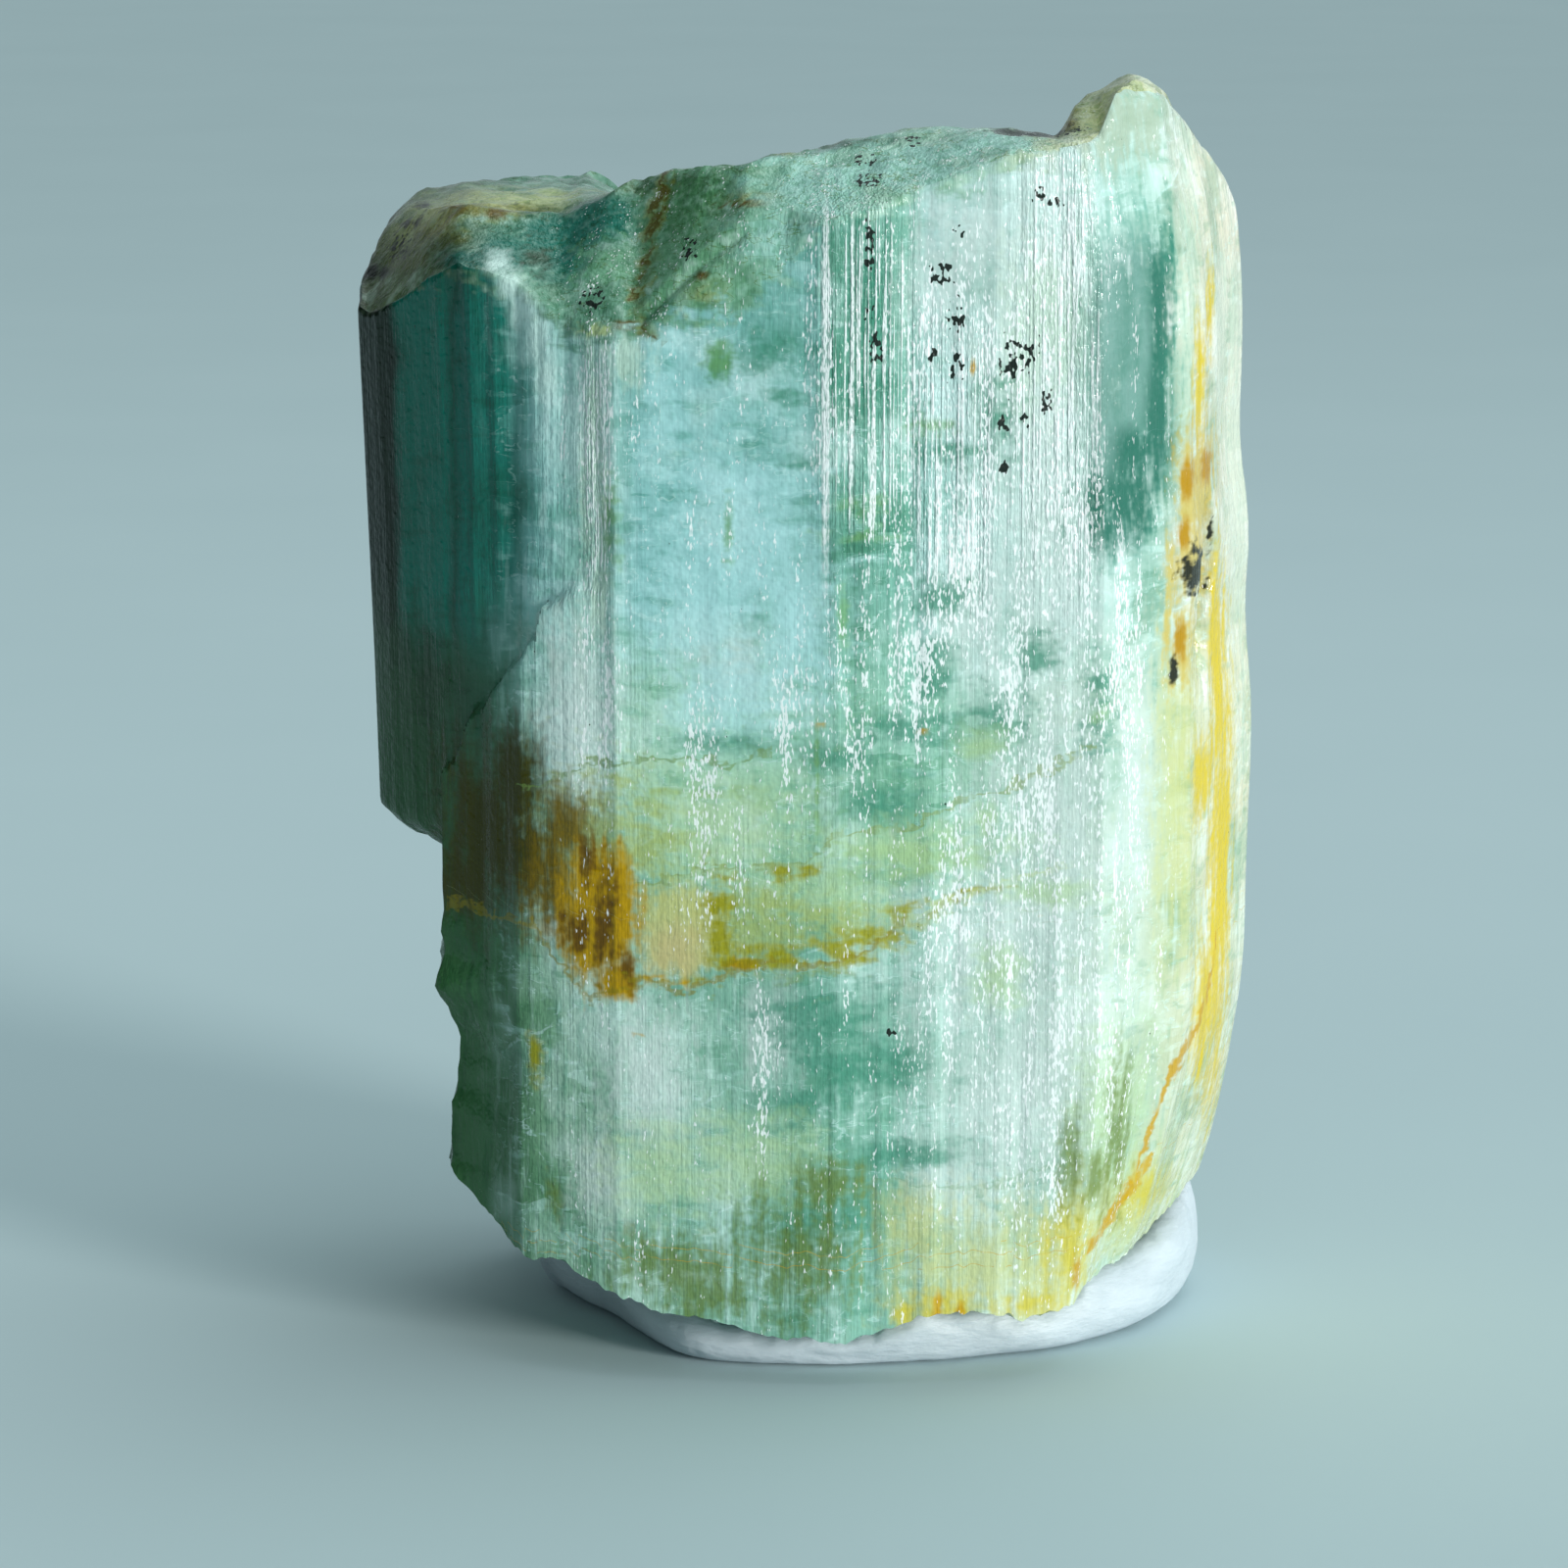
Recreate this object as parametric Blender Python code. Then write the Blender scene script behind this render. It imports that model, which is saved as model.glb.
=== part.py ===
"""An aquamarine crystal standing in a lump of white mounting putty.

The crystal is a stout six-sided prism of beryl with striped faces. A slimmer prism grew beside it
and is part of the same solid. Both ends are broken. The putty is pressed to the lower break and
has a flat underside.

Lengths are in millimetres until the vertices are written, and +Z is up. The broad striped face
looks along -Y.
"""

import bmesh
import bpy
import numpy as np

METRES = 0.001

# The main crystal in plan, as x and y. Corners run anticlockwise seen from above.
MAIN_PLAN = [
    (-17.1, -8.0), (-13.2, -10.9), (-8.6, -12.7), (1.3, -14.0), (13.2, -12.9), (17.3, -8.6),
    (20.7, 0.4), (19.0, 6.8), (12.4, 12.6), (-8.5, 13.2), (-15.4, 8.0), (-16.9, -1.0),
]
# How far its right and left sides swell, as height and distance, and the x where that starts and
# is full.
RIGHT_SWELL = [
    (3.0, -3.2), (6.4, -1.75), (10.6, -0.75), (16.4, 0.15), (22.0, 0.2), (28.0, 0.3), (31.0, 0.15),
    (33.5, -0.15), (37.8, 0.2), (41.8, -0.3), (45.0, -0.2), (50.0, -0.4), (53.4, -0.8), (57.0, -1.7),
]
RIGHT_SWELL_X = (8.0, 18.0)
LEFT_SWELL = [
    (5.0, -0.9), (8.4, -0.5), (11.5, -0.75), (14.3, -1.25), (16.0, -0.6), (17.4, -0.1), (19.5, -0.45),
]
LEFT_SWELL_X = (-12.0, -16.5)
SIDE_WAVE = 0.25

# The slimmer crystal on the left in plan, the height of its foot, how far the foot rounds in, and
# how much it widens with height.
SLIM_PLAN = [
    (-7.6, -12.0), (-15.0, -8.9), (-16.3, -7.9), (-19.5, -4.7), (-20.2, -0.4), (-19.7, 5.4),
    (-16.2, 10.0), (-9.4, 12.4),
]
SLIM_FOOT = 24.0
SLIM_FOOT_ROUNDING = (1.3, 1.0)
SLIM_WIDENING = 0.0014
SLIM_PLAN_HEIGHT = 36.0

# The outer layer of the main crystal is broken off over the slim one: along a ledge, as x and z,
# and up an edge, as z and x.
LAYER_LEDGE = [
    (-17.5, 27.2), (-16.5, 28.3), (-15.8, 30.6), (-14.4, 32.1), (-12.2, 34.4), (-11.9, 35.8),
    (-10.0, 36.4), (-8.6, 37.1),
]
LAYER_UPRIGHT = [(36.0, -8.7), (38.5, -7.9), (42.0, -8.5), (46.0, -7.9), (50.0, -8.2), (60.0, -8.0)]
LAYER_DEPTH = 1.1

# A shallow pocket in the right side: direction in degrees, height, half width, half height, depth.
POCKET = (-19.5, 36.0, 1.3, 4.8, 0.8)

# The rough back: the depths of the outer and inner broken plates and of the pits on them.
BACK_PLATES = (0.65, 0.5, 0.2)
BACK_Y = (4.0, 9.0)

# The upright stripes of the faces: width, length and depth.
STRIPES = [(2.3, 26.0, 0.13), (0.95, 17.0, 0.1), (0.5, 11.0, 0.05)]

# The upper break: x and z where the upright front ends, how steeply the break climbs back from
# there by x, and the ridge that it climbs to.
FRONT_RIM = [
    (-20.0, 48.3), (-18.4, 49.0), (-15.7, 50.8), (-14.1, 50.2), (-11.0, 48.4), (-7.5, 48.6),
    (-5.0, 51.0), (-2.7, 52.7), (1.1, 53.5), (5.0, 54.7), (8.9, 56.2), (11.0, 56.3), (13.0, 56.5),
    (13.8, 58.2), (17.5, 57.4), (19.5, 54.6), (21.0, 52.0),
]
CLIMB = [(-20.0, 0.4), (-14.0, 0.55), (-9.0, 0.95), (-4.0, 0.8), (1.0, 0.6), (9.0, 0.3), (14.0, 0.3)]
RIDGE = [
    (-20.8, 48.6), (-20.2, 50.0), (-19.5, 51.2), (-18.4, 52.2), (-15.6, 52.9), (-11.0, 52.8),
    (-8.9, 53.9), (-7.8, 54.7), (-5.9, 54.9), (-3.4, 55.1), (-1.5, 55.8), (1.2, 56.3), (3.3, 56.7),
    (7.7, 56.9), (11.2, 56.7), (12.0, 58.0), (14.5, 59.0), (16.2, 58.3), (17.4, 56.9), (18.3, 55.7),
    (19.2, 54.5), (19.8, 53.4), (21.0, 51.5),
]
# Where the ridge runs in plan, as x and y, and how steeply the ground falls behind it by x.
RIDGE_LINE = [
    (-21.0, -3.0), (-16.0, -3.0), (-8.0, -8.0), (11.0, -8.0), (12.5, -6.0), (16.5, -6.0), (19.5, 0.0),
]
FALL = [(-10.5, 0.0), (-7.0, 0.24), (11.0, 0.24), (12.5, 0.54)]

# The lower break: x and z of its front edge, the y where it is lowest, and its rise away from there.
FOOT_EDGE = [
    (-17.2, 9.4), (-16.5, 8.4), (-14.7, 6.5), (-12.8, 4.9), (-11.4, 4.9), (-10.0, 4.3), (-8.6, 3.5),
    (-7.1, 2.9), (-3.5, 2.1), (1.4, 1.45), (3.4, 1.9), (5.2, 2.8), (8.0, 2.75), (10.7, 2.45),
    (12.3, 2.8), (12.8, 3.5), (15.1, 4.1), (18.9, 6.2), (21.0, 8.5),
]
FOOT_LOW_Y = -4.0
FOOT_RISE = 0.05

# The bumps of the breaks: width along x, width along y and height, and how much each break has.
RUBBLE = [(6.0, 4.5, 0.35), (2.4, 1.9, 0.28), (0.9, 0.8, 0.1)]
TOP_ROUGHNESS = 0.7
FOOT_ROUGHNESS = 0.3

# The putty: its outline as an angle in degrees round its centre and a distance, its height, and
# its section from the middle of its underside outwards and up, as shares of the outline and height.
PUTTY_CENTRE = (3.0, 0.5)
PUTTY_OUTLINE = [
    (-180, 15.8), (-160, 14.2), (-135, 14.4), (-120, 13.4), (-105, 12.4), (-90, 11.8), (-60, 12.2),
    (-30, 14.2), (0, 15.8), (25, 16.2), (50, 14.6), (75, 13.0), (90, 12.6), (120, 13.6), (150, 15.2),
    (180, 15.8),
]
PUTTY_HEIGHT = 8.4
PUTTY_SECTION = [
    (0.5, 0.0), (0.88, 0.0), (0.95, 0.04), (0.99, 0.16), (1.01, 0.38), (1.01, 0.62), (0.985, 0.82),
    (0.94, 0.95), (0.87, 1.0), (0.76, 1.0), (0.62, 1.0), (0.46, 1.0), (0.3, 1.0), (0.14, 1.0),
]
PUTTY_GAP = 0.35

# Where the middle of the whole thing's box lies in the plans above.
BOX_CENTRE = (0.24, -0.365, 0.0)

# How finely the surfaces are sampled, and how many triangles the crystal keeps.
CRYSTAL_COLUMNS = 520
CRYSTAL_ROWS = 150
CAP_RINGS = 34
PUTTY_COLUMNS = 60
CRYSTAL_TRIANGLES = 8000

# Plain colours, with how rough each surface is and how blunt its smooth edges may be in degrees.
BERYL = ((0.33, 0.56, 0.47), 0.25, 28.0)
PUTTY = ((0.8, 0.84, 0.86), 0.6, 60.0)


def curve(points, at):
    """The height of a line through (place, value) points at a place."""
    places, values = np.array(points).T
    return np.interp(at, places, values)


def eased(points, at, spread):
    """The same with its corners rounded off."""
    return (curve(points, at - spread) + curve(points, at) + curve(points, at + spread)) / 3.0


def step(low, high, at):
    """Climbs smoothly from 0 at low to 1 at high."""
    share = np.clip((at - low) / (high - low), 0.0, 1.0)
    return share * share * (3.0 - 2.0 * share)


def lattice(i, j, seed):
    """A repeatable number from 0 to 1 for each whole-numbered place."""
    mixed = i.astype(np.uint32) * np.uint32(374761393) + j.astype(np.uint32) * np.uint32(668265263)
    mixed = (mixed + np.uint32(seed * 2654435 + 97)) * np.uint32(1274126177)
    mixed = (mixed ^ (mixed >> np.uint32(13))) * np.uint32(1274126177)
    return ((mixed ^ (mixed >> np.uint32(16))) & np.uint32(0xFFFF)) / 65535.0


def relief(u, v, seed, ridged=False):
    """Uneven ground from -1 to 1. Ridged ground runs straight between its corners along u."""
    i, j = np.floor(u).astype(np.int64), np.floor(v).astype(np.int64)
    across, along = u - i, v - j
    if not ridged:
        across = across * across * (3.0 - 2.0 * across)
    along = along * along * (3.0 - 2.0 * along)
    near = lattice(i, j, seed) * (1 - across) + lattice(i + 1, j, seed) * across
    far = lattice(i, j + 1, seed) * (1 - across) + lattice(i + 1, j + 1, seed) * across
    return 2.0 * (near * (1 - along) + far * along) - 1.0


def reach(plan, angle):
    """How far a plan's outline lies from the axis in each direction."""
    found = np.zeros_like(angle)
    dx, dy = np.cos(angle), np.sin(angle)
    for (ax, ay), (bx, by) in zip(plan, plan[1:] + plan[:1]):
        ex, ey = bx - ax, by - ay
        across = dx * ey - dy * ex
        across = np.where(np.abs(across) < 1e-9, 1e-9, across)
        distance = (ax * ey - ay * ex) / across
        share = (ax * dy - ay * dx) / across
        hit = (share >= 0) & (share <= 1) & (distance > 0)
        found = np.where(hit, np.maximum(found, distance), found)
    return found


def stripes(along, z):
    """The upright stripes of a beryl face: flat strips that come and go with height."""
    total = 0.0
    for seed, (width, length, depth) in enumerate(STRIPES, start=3):
        total = total + depth * relief(along / width, z / length, seed, ridged=True)
    return total * (0.6 + 0.4 * relief(along / 6.0, z / 15.0, 11))


def pocket(angle, radius, z):
    """How deep the pocket in the right side goes at a place."""
    direction, height, half_width, half_height, depth = POCKET
    across = (angle - np.radians(direction)) * radius / half_width
    outside = np.hypot(across, (z - height) / half_height)
    return depth * step(1.0, 0.6, outside + 0.2 * relief(across * 1.6, z / 1.2, 61))


def broken_layer(x, y, along, z):
    """How far the front lies in where the outer layer is broken off."""
    ragged = 0.35 * relief(along / 1.3, z / 1.1, 17) + 0.15 * relief(along / 0.5, z / 0.5, 19)
    kept = np.maximum(curve(LAYER_LEDGE, x) - z, x - curve(LAYER_UPRIGHT, z)) + ragged
    return LAYER_DEPTH * step(0.12, -0.12, kept) * step(2.0, -2.0, y)


def growth_plates(along, y, z):
    """How far the back lies in: upright plates that end at different heights, with torn ends."""
    torn = 1.6 * relief(along / 1.1, z / 2.0, 31)
    outer = step(-0.12, 0.12, relief(along / 6.5, (z + torn) / 21.0, 29))
    inner = step(0.1, 0.34, relief(along / 4.1, (z + torn) / 16.0, 33))
    pits = relief(along / 1.3, z / 1.6, 35) * outer
    depths = BACK_PLATES[0] * outer + BACK_PLATES[1] * inner + BACK_PLATES[2] * pits
    return depths * step(*BACK_Y, y)


def crystal_radius(angle, along, z):
    """The distance of the crystal's side from the axis."""
    main = reach(MAIN_PLAN, angle)
    x, y = main * np.cos(angle), main * np.sin(angle)
    main = main + step(*RIGHT_SWELL_X, x) * eased(RIGHT_SWELL, z, 1.5)
    main = main + step(*LEFT_SWELL_X, x) * eased(LEFT_SWELL, z, 0.4)
    main = main + SIDE_WAVE * relief(along / 5.0, z / 7.0, 37) * step(12.0, 19.0, x)
    main = main - pocket(angle, main, z) - broken_layer(x, y, along, z)

    slim = reach(SLIM_PLAN, angle) * (1.0 + SLIM_WIDENING * (z - SLIM_PLAN_HEIGHT))
    foot = SLIM_FOOT + 0.35 * relief(along / 1.7, z * 0.0, 23)
    height, depth = SLIM_FOOT_ROUNDING
    slim = np.where(z > foot, slim - depth * step(foot + height, foot, z) ** 2, 0.0)
    return np.maximum(main, slim) + stripes(along, z) - growth_plates(along, y, z)


def rubble(x, y, seed):
    """The hackly ground of a broken face."""
    total = 0.0
    for layer, (width, depth, height) in enumerate(RUBBLE):
        total = total + height * relief(x / width, y / depth, seed + layer)
    return total


def top_height(x, y):
    """The upper break: it climbs from the front rim to a ridge, and falls away behind it."""
    front = curve(sorted(MAIN_PLAN[:7] + SLIM_PLAN[3:5]), x)
    climb = curve(FRONT_RIM, x) + curve(CLIMB, x) * (y - front)
    behind = curve(RIDGE, x) - curve(FALL, x) * np.maximum(y - curve(RIDGE_LINE, x), 0.0)
    return np.minimum(climb, behind) + TOP_ROUGHNESS * step(0.2, 3.0, y - front) * rubble(x, y, 41)


def foot_height(x, y):
    """The lower break: lowest along a line near the front."""
    return curve(FOOT_EDGE, x) + FOOT_RISE * np.abs(y - FOOT_LOW_Y) + FOOT_ROUGHNESS * rubble(x, y, 53)


def even_columns(count):
    """Directions that share out the crystal's outline evenly, and the length along it at each."""
    dense = np.linspace(-np.pi, np.pi, 7201)
    radius = np.maximum(reach(MAIN_PLAN, dense), reach(SLIM_PLAN, dense))
    x, y = radius * np.cos(dense), radius * np.sin(dense)
    travelled = np.concatenate([[0.0], np.cumsum(np.hypot(np.diff(x), np.diff(y)))])
    along = np.linspace(0.0, travelled[-1], count, endpoint=False)
    return np.interp(along, travelled, dense), along


def rim_height(height, angle, along, z):
    """Where the crystal's side meets a break, found by going back and forth between the two."""
    for _ in range(6):
        radius = crystal_radius(angle, along, z)
        z = 0.5 * z + 0.5 * height(radius * np.cos(angle), radius * np.sin(angle))
    return z


def cap_rings(edge, height):
    """The rings of a break, from just inside its rim to near its middle."""
    x, y, z = edge
    rings = []
    for share in np.linspace(1.0, 0.0, CAP_RINGS, endpoint=False)[1:]:
        inside = step(1.0, 0.97, share)
        rings.append((x * share, y * share, z * (1 - inside) + height(x * share, y * share) * inside))
    return rings


def crystal_rings():
    """The crystal's surface as closed rings, from the middle of the foot to the middle of the top."""
    angle, along = even_columns(CRYSTAL_COLUMNS)
    top = rim_height(top_height, angle, along, np.full_like(angle, 52.0))
    foot = rim_height(foot_height, angle, along, np.full_like(angle, 5.0))
    side = []
    for share in np.linspace(0.0, 1.0, CRYSTAL_ROWS):
        z = foot + (top - foot) * share
        radius = crystal_radius(angle, along, z)
        side.append((radius * np.cos(angle), radius * np.sin(angle), z))
    return cap_rings(side[0], foot_height)[::-1] + side + cap_rings(side[-1], top_height)


def lowest_near(x, y):
    """The lowest that the crystal's lower break comes within a small distance of a place."""
    near = [(dx, dy) for dx in (-0.7, 0.0, 0.7) for dy in (-0.7, 0.0, 0.7)]
    return np.min([foot_height(x + dx, y + dy) for dx, dy in near], axis=0)


def putty_rings():
    """The putty's surface as closed rings. Its upper side keeps a small gap to the crystal."""
    degrees = np.linspace(-180.0, 180.0, PUTTY_COLUMNS, endpoint=False)
    outline = curve(PUTTY_OUTLINE, degrees)
    rings = []
    for outward, upward in PUTTY_SECTION:
        x = PUTTY_CENTRE[0] + outline * outward * np.cos(np.radians(degrees))
        y = PUTTY_CENTRE[1] + outline * outward * np.sin(np.radians(degrees))
        rings.append((x, y, upward * np.minimum(PUTTY_HEIGHT, lowest_near(x, y) - PUTTY_GAP)))
    return rings


def closed_mesh(name, rings):
    """Bridges rings that run anticlockwise into one closed surface with a point at each end."""
    mesh = bmesh.new()
    loops = []
    for ring in rings:
        points = (np.column_stack(ring) - BOX_CENTRE) * METRES
        loops.append([mesh.verts.new(point) for point in points])
    for lower, upper in zip(loops, loops[1:]):
        for i, vertex in enumerate(lower):
            j = (i + 1) % len(lower)
            mesh.faces.new((vertex, lower[j], upper[j], upper[i]))
    for loop, winding in ((loops[0], -1), (loops[-1], 1)):
        middle = mesh.verts.new(sum((v.co for v in loop), start=loop[0].co * 0) / len(loop))
        for i, vertex in enumerate(loop):
            mesh.faces.new((vertex, loop[(i + 1) % len(loop)], middle)[::winding])
    data = bpy.data.meshes.new(name)
    mesh.to_mesh(data)
    mesh.free()
    made = bpy.data.objects.new(name, data)
    bpy.context.scene.collection.objects.link(made)
    return made


def finish(made, colour, roughness, smooth_degrees):
    """Gives an object its plain material and shades it smooth between its edges."""
    material = bpy.data.materials.new(made.name)
    material.use_nodes = True
    shader = material.node_tree.nodes["Principled BSDF"]
    shader.inputs["Base Color"].default_value = (*colour, 1.0)
    shader.inputs["Roughness"].default_value = roughness
    shader.inputs["Metallic"].default_value = 0.0
    made.data.materials.append(material)
    made.data.shade_smooth()
    made.data.set_sharp_from_angle(angle=np.radians(smooth_degrees))


def build_crystal():
    """Both prisms grown together, sampled finely and thinned to the facets that matter."""
    crystal = closed_mesh("aquamarine_crystal", crystal_rings())
    triangles = sum(len(face.vertices) - 2 for face in crystal.data.polygons)
    thin = crystal.modifiers.new("facets", "DECIMATE")
    thin.ratio = CRYSTAL_TRIANGLES / triangles
    finish(crystal, *BERYL)


def build_putty():
    """The lump of white putty that the crystal is pressed into."""
    finish(closed_mesh("mounting_putty", putty_rings()), *PUTTY)


for old in list(bpy.data.objects):
    bpy.data.objects.remove(old)
build_crystal()
build_putty()
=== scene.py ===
"""An aquamarine crystal standing in white mounting putty on a pale floor.

Lengths are in millimetres until a mesh is written. The striped front of the crystal looks along -Y.
"""

import bpy
import numpy as np
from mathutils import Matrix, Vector


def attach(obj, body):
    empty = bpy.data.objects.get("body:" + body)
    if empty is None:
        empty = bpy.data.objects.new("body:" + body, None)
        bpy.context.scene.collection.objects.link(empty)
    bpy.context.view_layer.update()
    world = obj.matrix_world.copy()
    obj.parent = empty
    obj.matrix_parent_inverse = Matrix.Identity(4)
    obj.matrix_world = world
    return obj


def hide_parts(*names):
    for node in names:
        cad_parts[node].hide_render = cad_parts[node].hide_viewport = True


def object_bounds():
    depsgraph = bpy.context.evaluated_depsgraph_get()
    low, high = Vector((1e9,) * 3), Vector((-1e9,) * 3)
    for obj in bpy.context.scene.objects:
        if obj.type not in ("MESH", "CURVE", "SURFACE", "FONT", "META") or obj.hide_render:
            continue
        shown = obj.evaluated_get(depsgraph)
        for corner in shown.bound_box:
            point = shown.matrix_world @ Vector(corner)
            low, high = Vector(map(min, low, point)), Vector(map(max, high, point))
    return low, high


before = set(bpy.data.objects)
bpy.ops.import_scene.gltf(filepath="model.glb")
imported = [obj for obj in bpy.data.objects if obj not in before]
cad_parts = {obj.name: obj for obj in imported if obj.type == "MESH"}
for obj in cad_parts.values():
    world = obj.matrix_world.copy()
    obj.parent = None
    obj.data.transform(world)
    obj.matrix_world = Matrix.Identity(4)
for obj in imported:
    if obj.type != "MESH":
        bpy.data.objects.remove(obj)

frame_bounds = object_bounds()


# The crystal. Beryl, cloudy blue-green with clear teal parts, stained by iron along its cracks. A
# stout six-sided prism grew together with a slimmer one on its left. The faces are striped upright
# and both ends are broken. It stands by its foot in putty.

BOX_CENTRE = np.array([0.24, -0.365, 0.0])
METRES = 0.001

# The main crystal in plan, as x and y, and how far its sides swell by height.
MAIN_PLAN = [
    (-17.1, -8.0), (-13.2, -10.9), (-8.6, -12.7), (1.3, -14.0), (13.2, -12.9), (17.3, -8.6),
    (20.7, 0.4), (19.0, 6.8), (12.4, 12.6), (-8.5, 13.2), (-15.4, 8.0), (-16.9, -1.0),
]
RIGHT_SWELL = [
    (3.0, -3.2), (6.4, -1.75), (10.6, -0.75), (16.4, 0.15), (22.0, 0.2), (28.0, 0.3), (31.0, 0.15),
    (33.5, -0.15), (37.8, 0.2), (41.8, -0.3), (45.0, -0.2), (50.0, -0.4), (53.4, -0.8), (57.0, -1.7),
]
LEFT_SWELL = [
    (5.0, -0.9), (8.4, -0.5), (11.5, -0.75), (14.3, -1.25), (16.0, -0.6), (17.4, -0.1), (19.5, -0.45),
]
# The slimmer crystal in plan, and the height of its foot.
SLIM_PLAN = [
    (-7.6, -12.0), (-15.0, -8.9), (-16.3, -7.9), (-19.3, -4.9), (-20.15, -3.6), (-20.2, -0.4),
    (-19.7, 5.4), (-16.2, 10.0), (-9.4, 12.4),
]
SLIM_FOOT = 24.0
# The front edge of both, seen from above.
FRONT_EDGE = sorted(MAIN_PLAN[:7] + SLIM_PLAN[3:5])
# The ledge and the upright edge where the outer layer of the main crystal is broken off.
LAYER_LEDGE = [
    (-17.5, 27.2), (-16.5, 28.3), (-15.8, 30.6), (-14.4, 32.1), (-12.2, 34.4), (-11.9, 35.8),
    (-10.0, 36.4), (-8.6, 37.1),
]
LAYER_UPRIGHT = [(36.0, -8.7), (38.5, -7.9), (42.0, -8.5), (46.0, -7.9), (50.0, -8.2), (60.0, -8.0)]
LAYER_DEPTH = 0.8
# The pocket in the right side: its direction from the axis in degrees, and its size.
POCKET_DIRECTION = -19.5
POCKET_HEIGHT = 36.0
POCKET_HALF_WIDTH = 1.3
POCKET_HALF_HEIGHT = 4.8
POCKET_DEPTH = 0.8
# Stripes as width, length and depth, and how strong they are across the front by x.
STRIPES = [(2.3, 26.0, 0.13), (0.95, 17.0, 0.1), (0.5, 11.0, 0.05), (0.27, 6.0, 0.035)]
STRIPE_STRENGTH = [
    (-20.0, 0.5), (-15.9, 0.6), (-15.2, 1.2), (-14.2, 1.2), (-12.8, 0.8), (-8.0, 0.5), (-6.5, 0.18),
    (-0.6, 0.18), (0.6, 0.5), (2.0, 1.2), (12.0, 1.3), (15.0, 0.8), (18.0, 0.6), (21.0, 0.6),
]
# The upper break: its front rim, its climb from there, its ridge, and its fall behind that.
FRONT_RIM = [
    (-20.0, 48.3), (-18.4, 49.0), (-15.7, 50.8), (-14.1, 50.2), (-11.0, 48.4), (-7.5, 48.6),
    (-5.0, 51.0), (-2.7, 52.7), (1.1, 53.5), (5.0, 54.7), (8.9, 56.2), (11.0, 56.3), (13.0, 56.5),
    (13.8, 58.2), (17.5, 57.4), (19.5, 54.6), (21.0, 52.0),
]
CLIMB = [(-20.0, 0.4), (-14.0, 0.55), (-9.0, 0.95), (-4.0, 0.8), (1.0, 0.6), (9.0, 0.3), (14.0, 0.3)]
RIDGE = [
    (-20.8, 48.6), (-20.2, 50.0), (-19.5, 51.2), (-18.4, 52.2), (-15.6, 52.9), (-11.0, 52.8),
    (-8.9, 53.9), (-7.8, 54.7), (-5.9, 54.9), (-3.4, 55.1), (-1.5, 55.8), (1.2, 56.3), (3.3, 56.7),
    (7.7, 56.9), (11.2, 56.7), (12.0, 58.0), (14.5, 59.0), (16.2, 58.3), (17.4, 56.9), (18.3, 55.7),
    (19.2, 54.5), (19.8, 53.4), (21.0, 51.5),
]
RIDGE_LINE = [
    (-21.0, -3.0), (-16.0, -3.0), (-8.0, -8.0), (11.0, -8.0), (12.5, -6.0), (16.5, -6.0), (19.5, 0.0),
]
FALL = [(-10.5, 0.0), (-7.0, 0.24), (11.0, 0.24), (12.5, 0.54)]
# The front edge of the lower break.
FOOT_EDGE = [
    (-17.2, 9.4), (-16.5, 8.4), (-14.7, 6.5), (-12.8, 4.9), (-11.4, 4.9), (-10.0, 4.3), (-8.6, 3.5),
    (-7.1, 2.9), (-3.5, 2.1), (1.4, 1.45), (3.4, 1.9), (5.2, 2.8), (8.0, 2.75), (10.7, 2.45),
    (12.3, 2.8), (12.8, 3.5), (15.1, 4.1), (18.9, 6.2), (21.0, 8.5),
]
# The bumps of the breaks: width along x, width along y and height.
RUBBLE = [(6.0, 4.5, 0.35), (2.4, 1.9, 0.28), (0.9, 0.8, 0.14), (0.4, 0.35, 0.08)]


def curve(points, at):
    """The height of a line through (place, value) points at a place."""
    places, values = np.array(points).T
    return np.interp(at, places, values)


def eased(points, at, spread):
    """The same with its corners rounded off."""
    return (curve(points, at - spread) + curve(points, at) + curve(points, at + spread)) / 3.0


def step(low, high, at):
    """Climbs smoothly from 0 at low to 1 at high."""
    share = np.clip((at - low) / (high - low), 0.0, 1.0)
    return share * share * (3.0 - 2.0 * share)


def lattice(i, j, seed):
    """A repeatable number from 0 to 1 for each whole-numbered place."""
    mixed = i.astype(np.uint32) * np.uint32(374761393) + j.astype(np.uint32) * np.uint32(668265263)
    mixed = (mixed + np.uint32(seed * 2654435 + 97)) * np.uint32(1274126177)
    mixed = (mixed ^ (mixed >> np.uint32(13))) * np.uint32(1274126177)
    return ((mixed ^ (mixed >> np.uint32(16))) & np.uint32(0xFFFF)) / 65535.0


def relief(u, v, seed, ridged=False):
    """Uneven ground from -1 to 1. Ridged ground runs straight between its corners along u."""
    i, j = np.floor(u).astype(np.int64), np.floor(v).astype(np.int64)
    across, along = u - i, v - j
    if not ridged:
        across = across * across * (3.0 - 2.0 * across)
    along = along * along * (3.0 - 2.0 * along)
    near = lattice(i, j, seed) * (1 - across) + lattice(i + 1, j, seed) * across
    far = lattice(i, j + 1, seed) * (1 - across) + lattice(i + 1, j + 1, seed) * across
    return 2.0 * (near * (1 - along) + far * along) - 1.0


def reach(plan, angle):
    """How far a plan's outline lies from the axis in each direction."""
    found = np.zeros_like(angle)
    dx, dy = np.cos(angle), np.sin(angle)
    for (ax, ay), (bx, by) in zip(plan, plan[1:] + plan[:1]):
        ex, ey = bx - ax, by - ay
        across = dx * ey - dy * ex
        across = np.where(np.abs(across) < 1e-9, 1e-9, across)
        distance = (ax * ey - ay * ex) / across
        share = (ax * dy - ay * dx) / across
        hit = (share >= 0) & (share <= 1) & (distance > 0)
        found = np.where(hit, np.maximum(found, distance), found)
    return found


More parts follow.
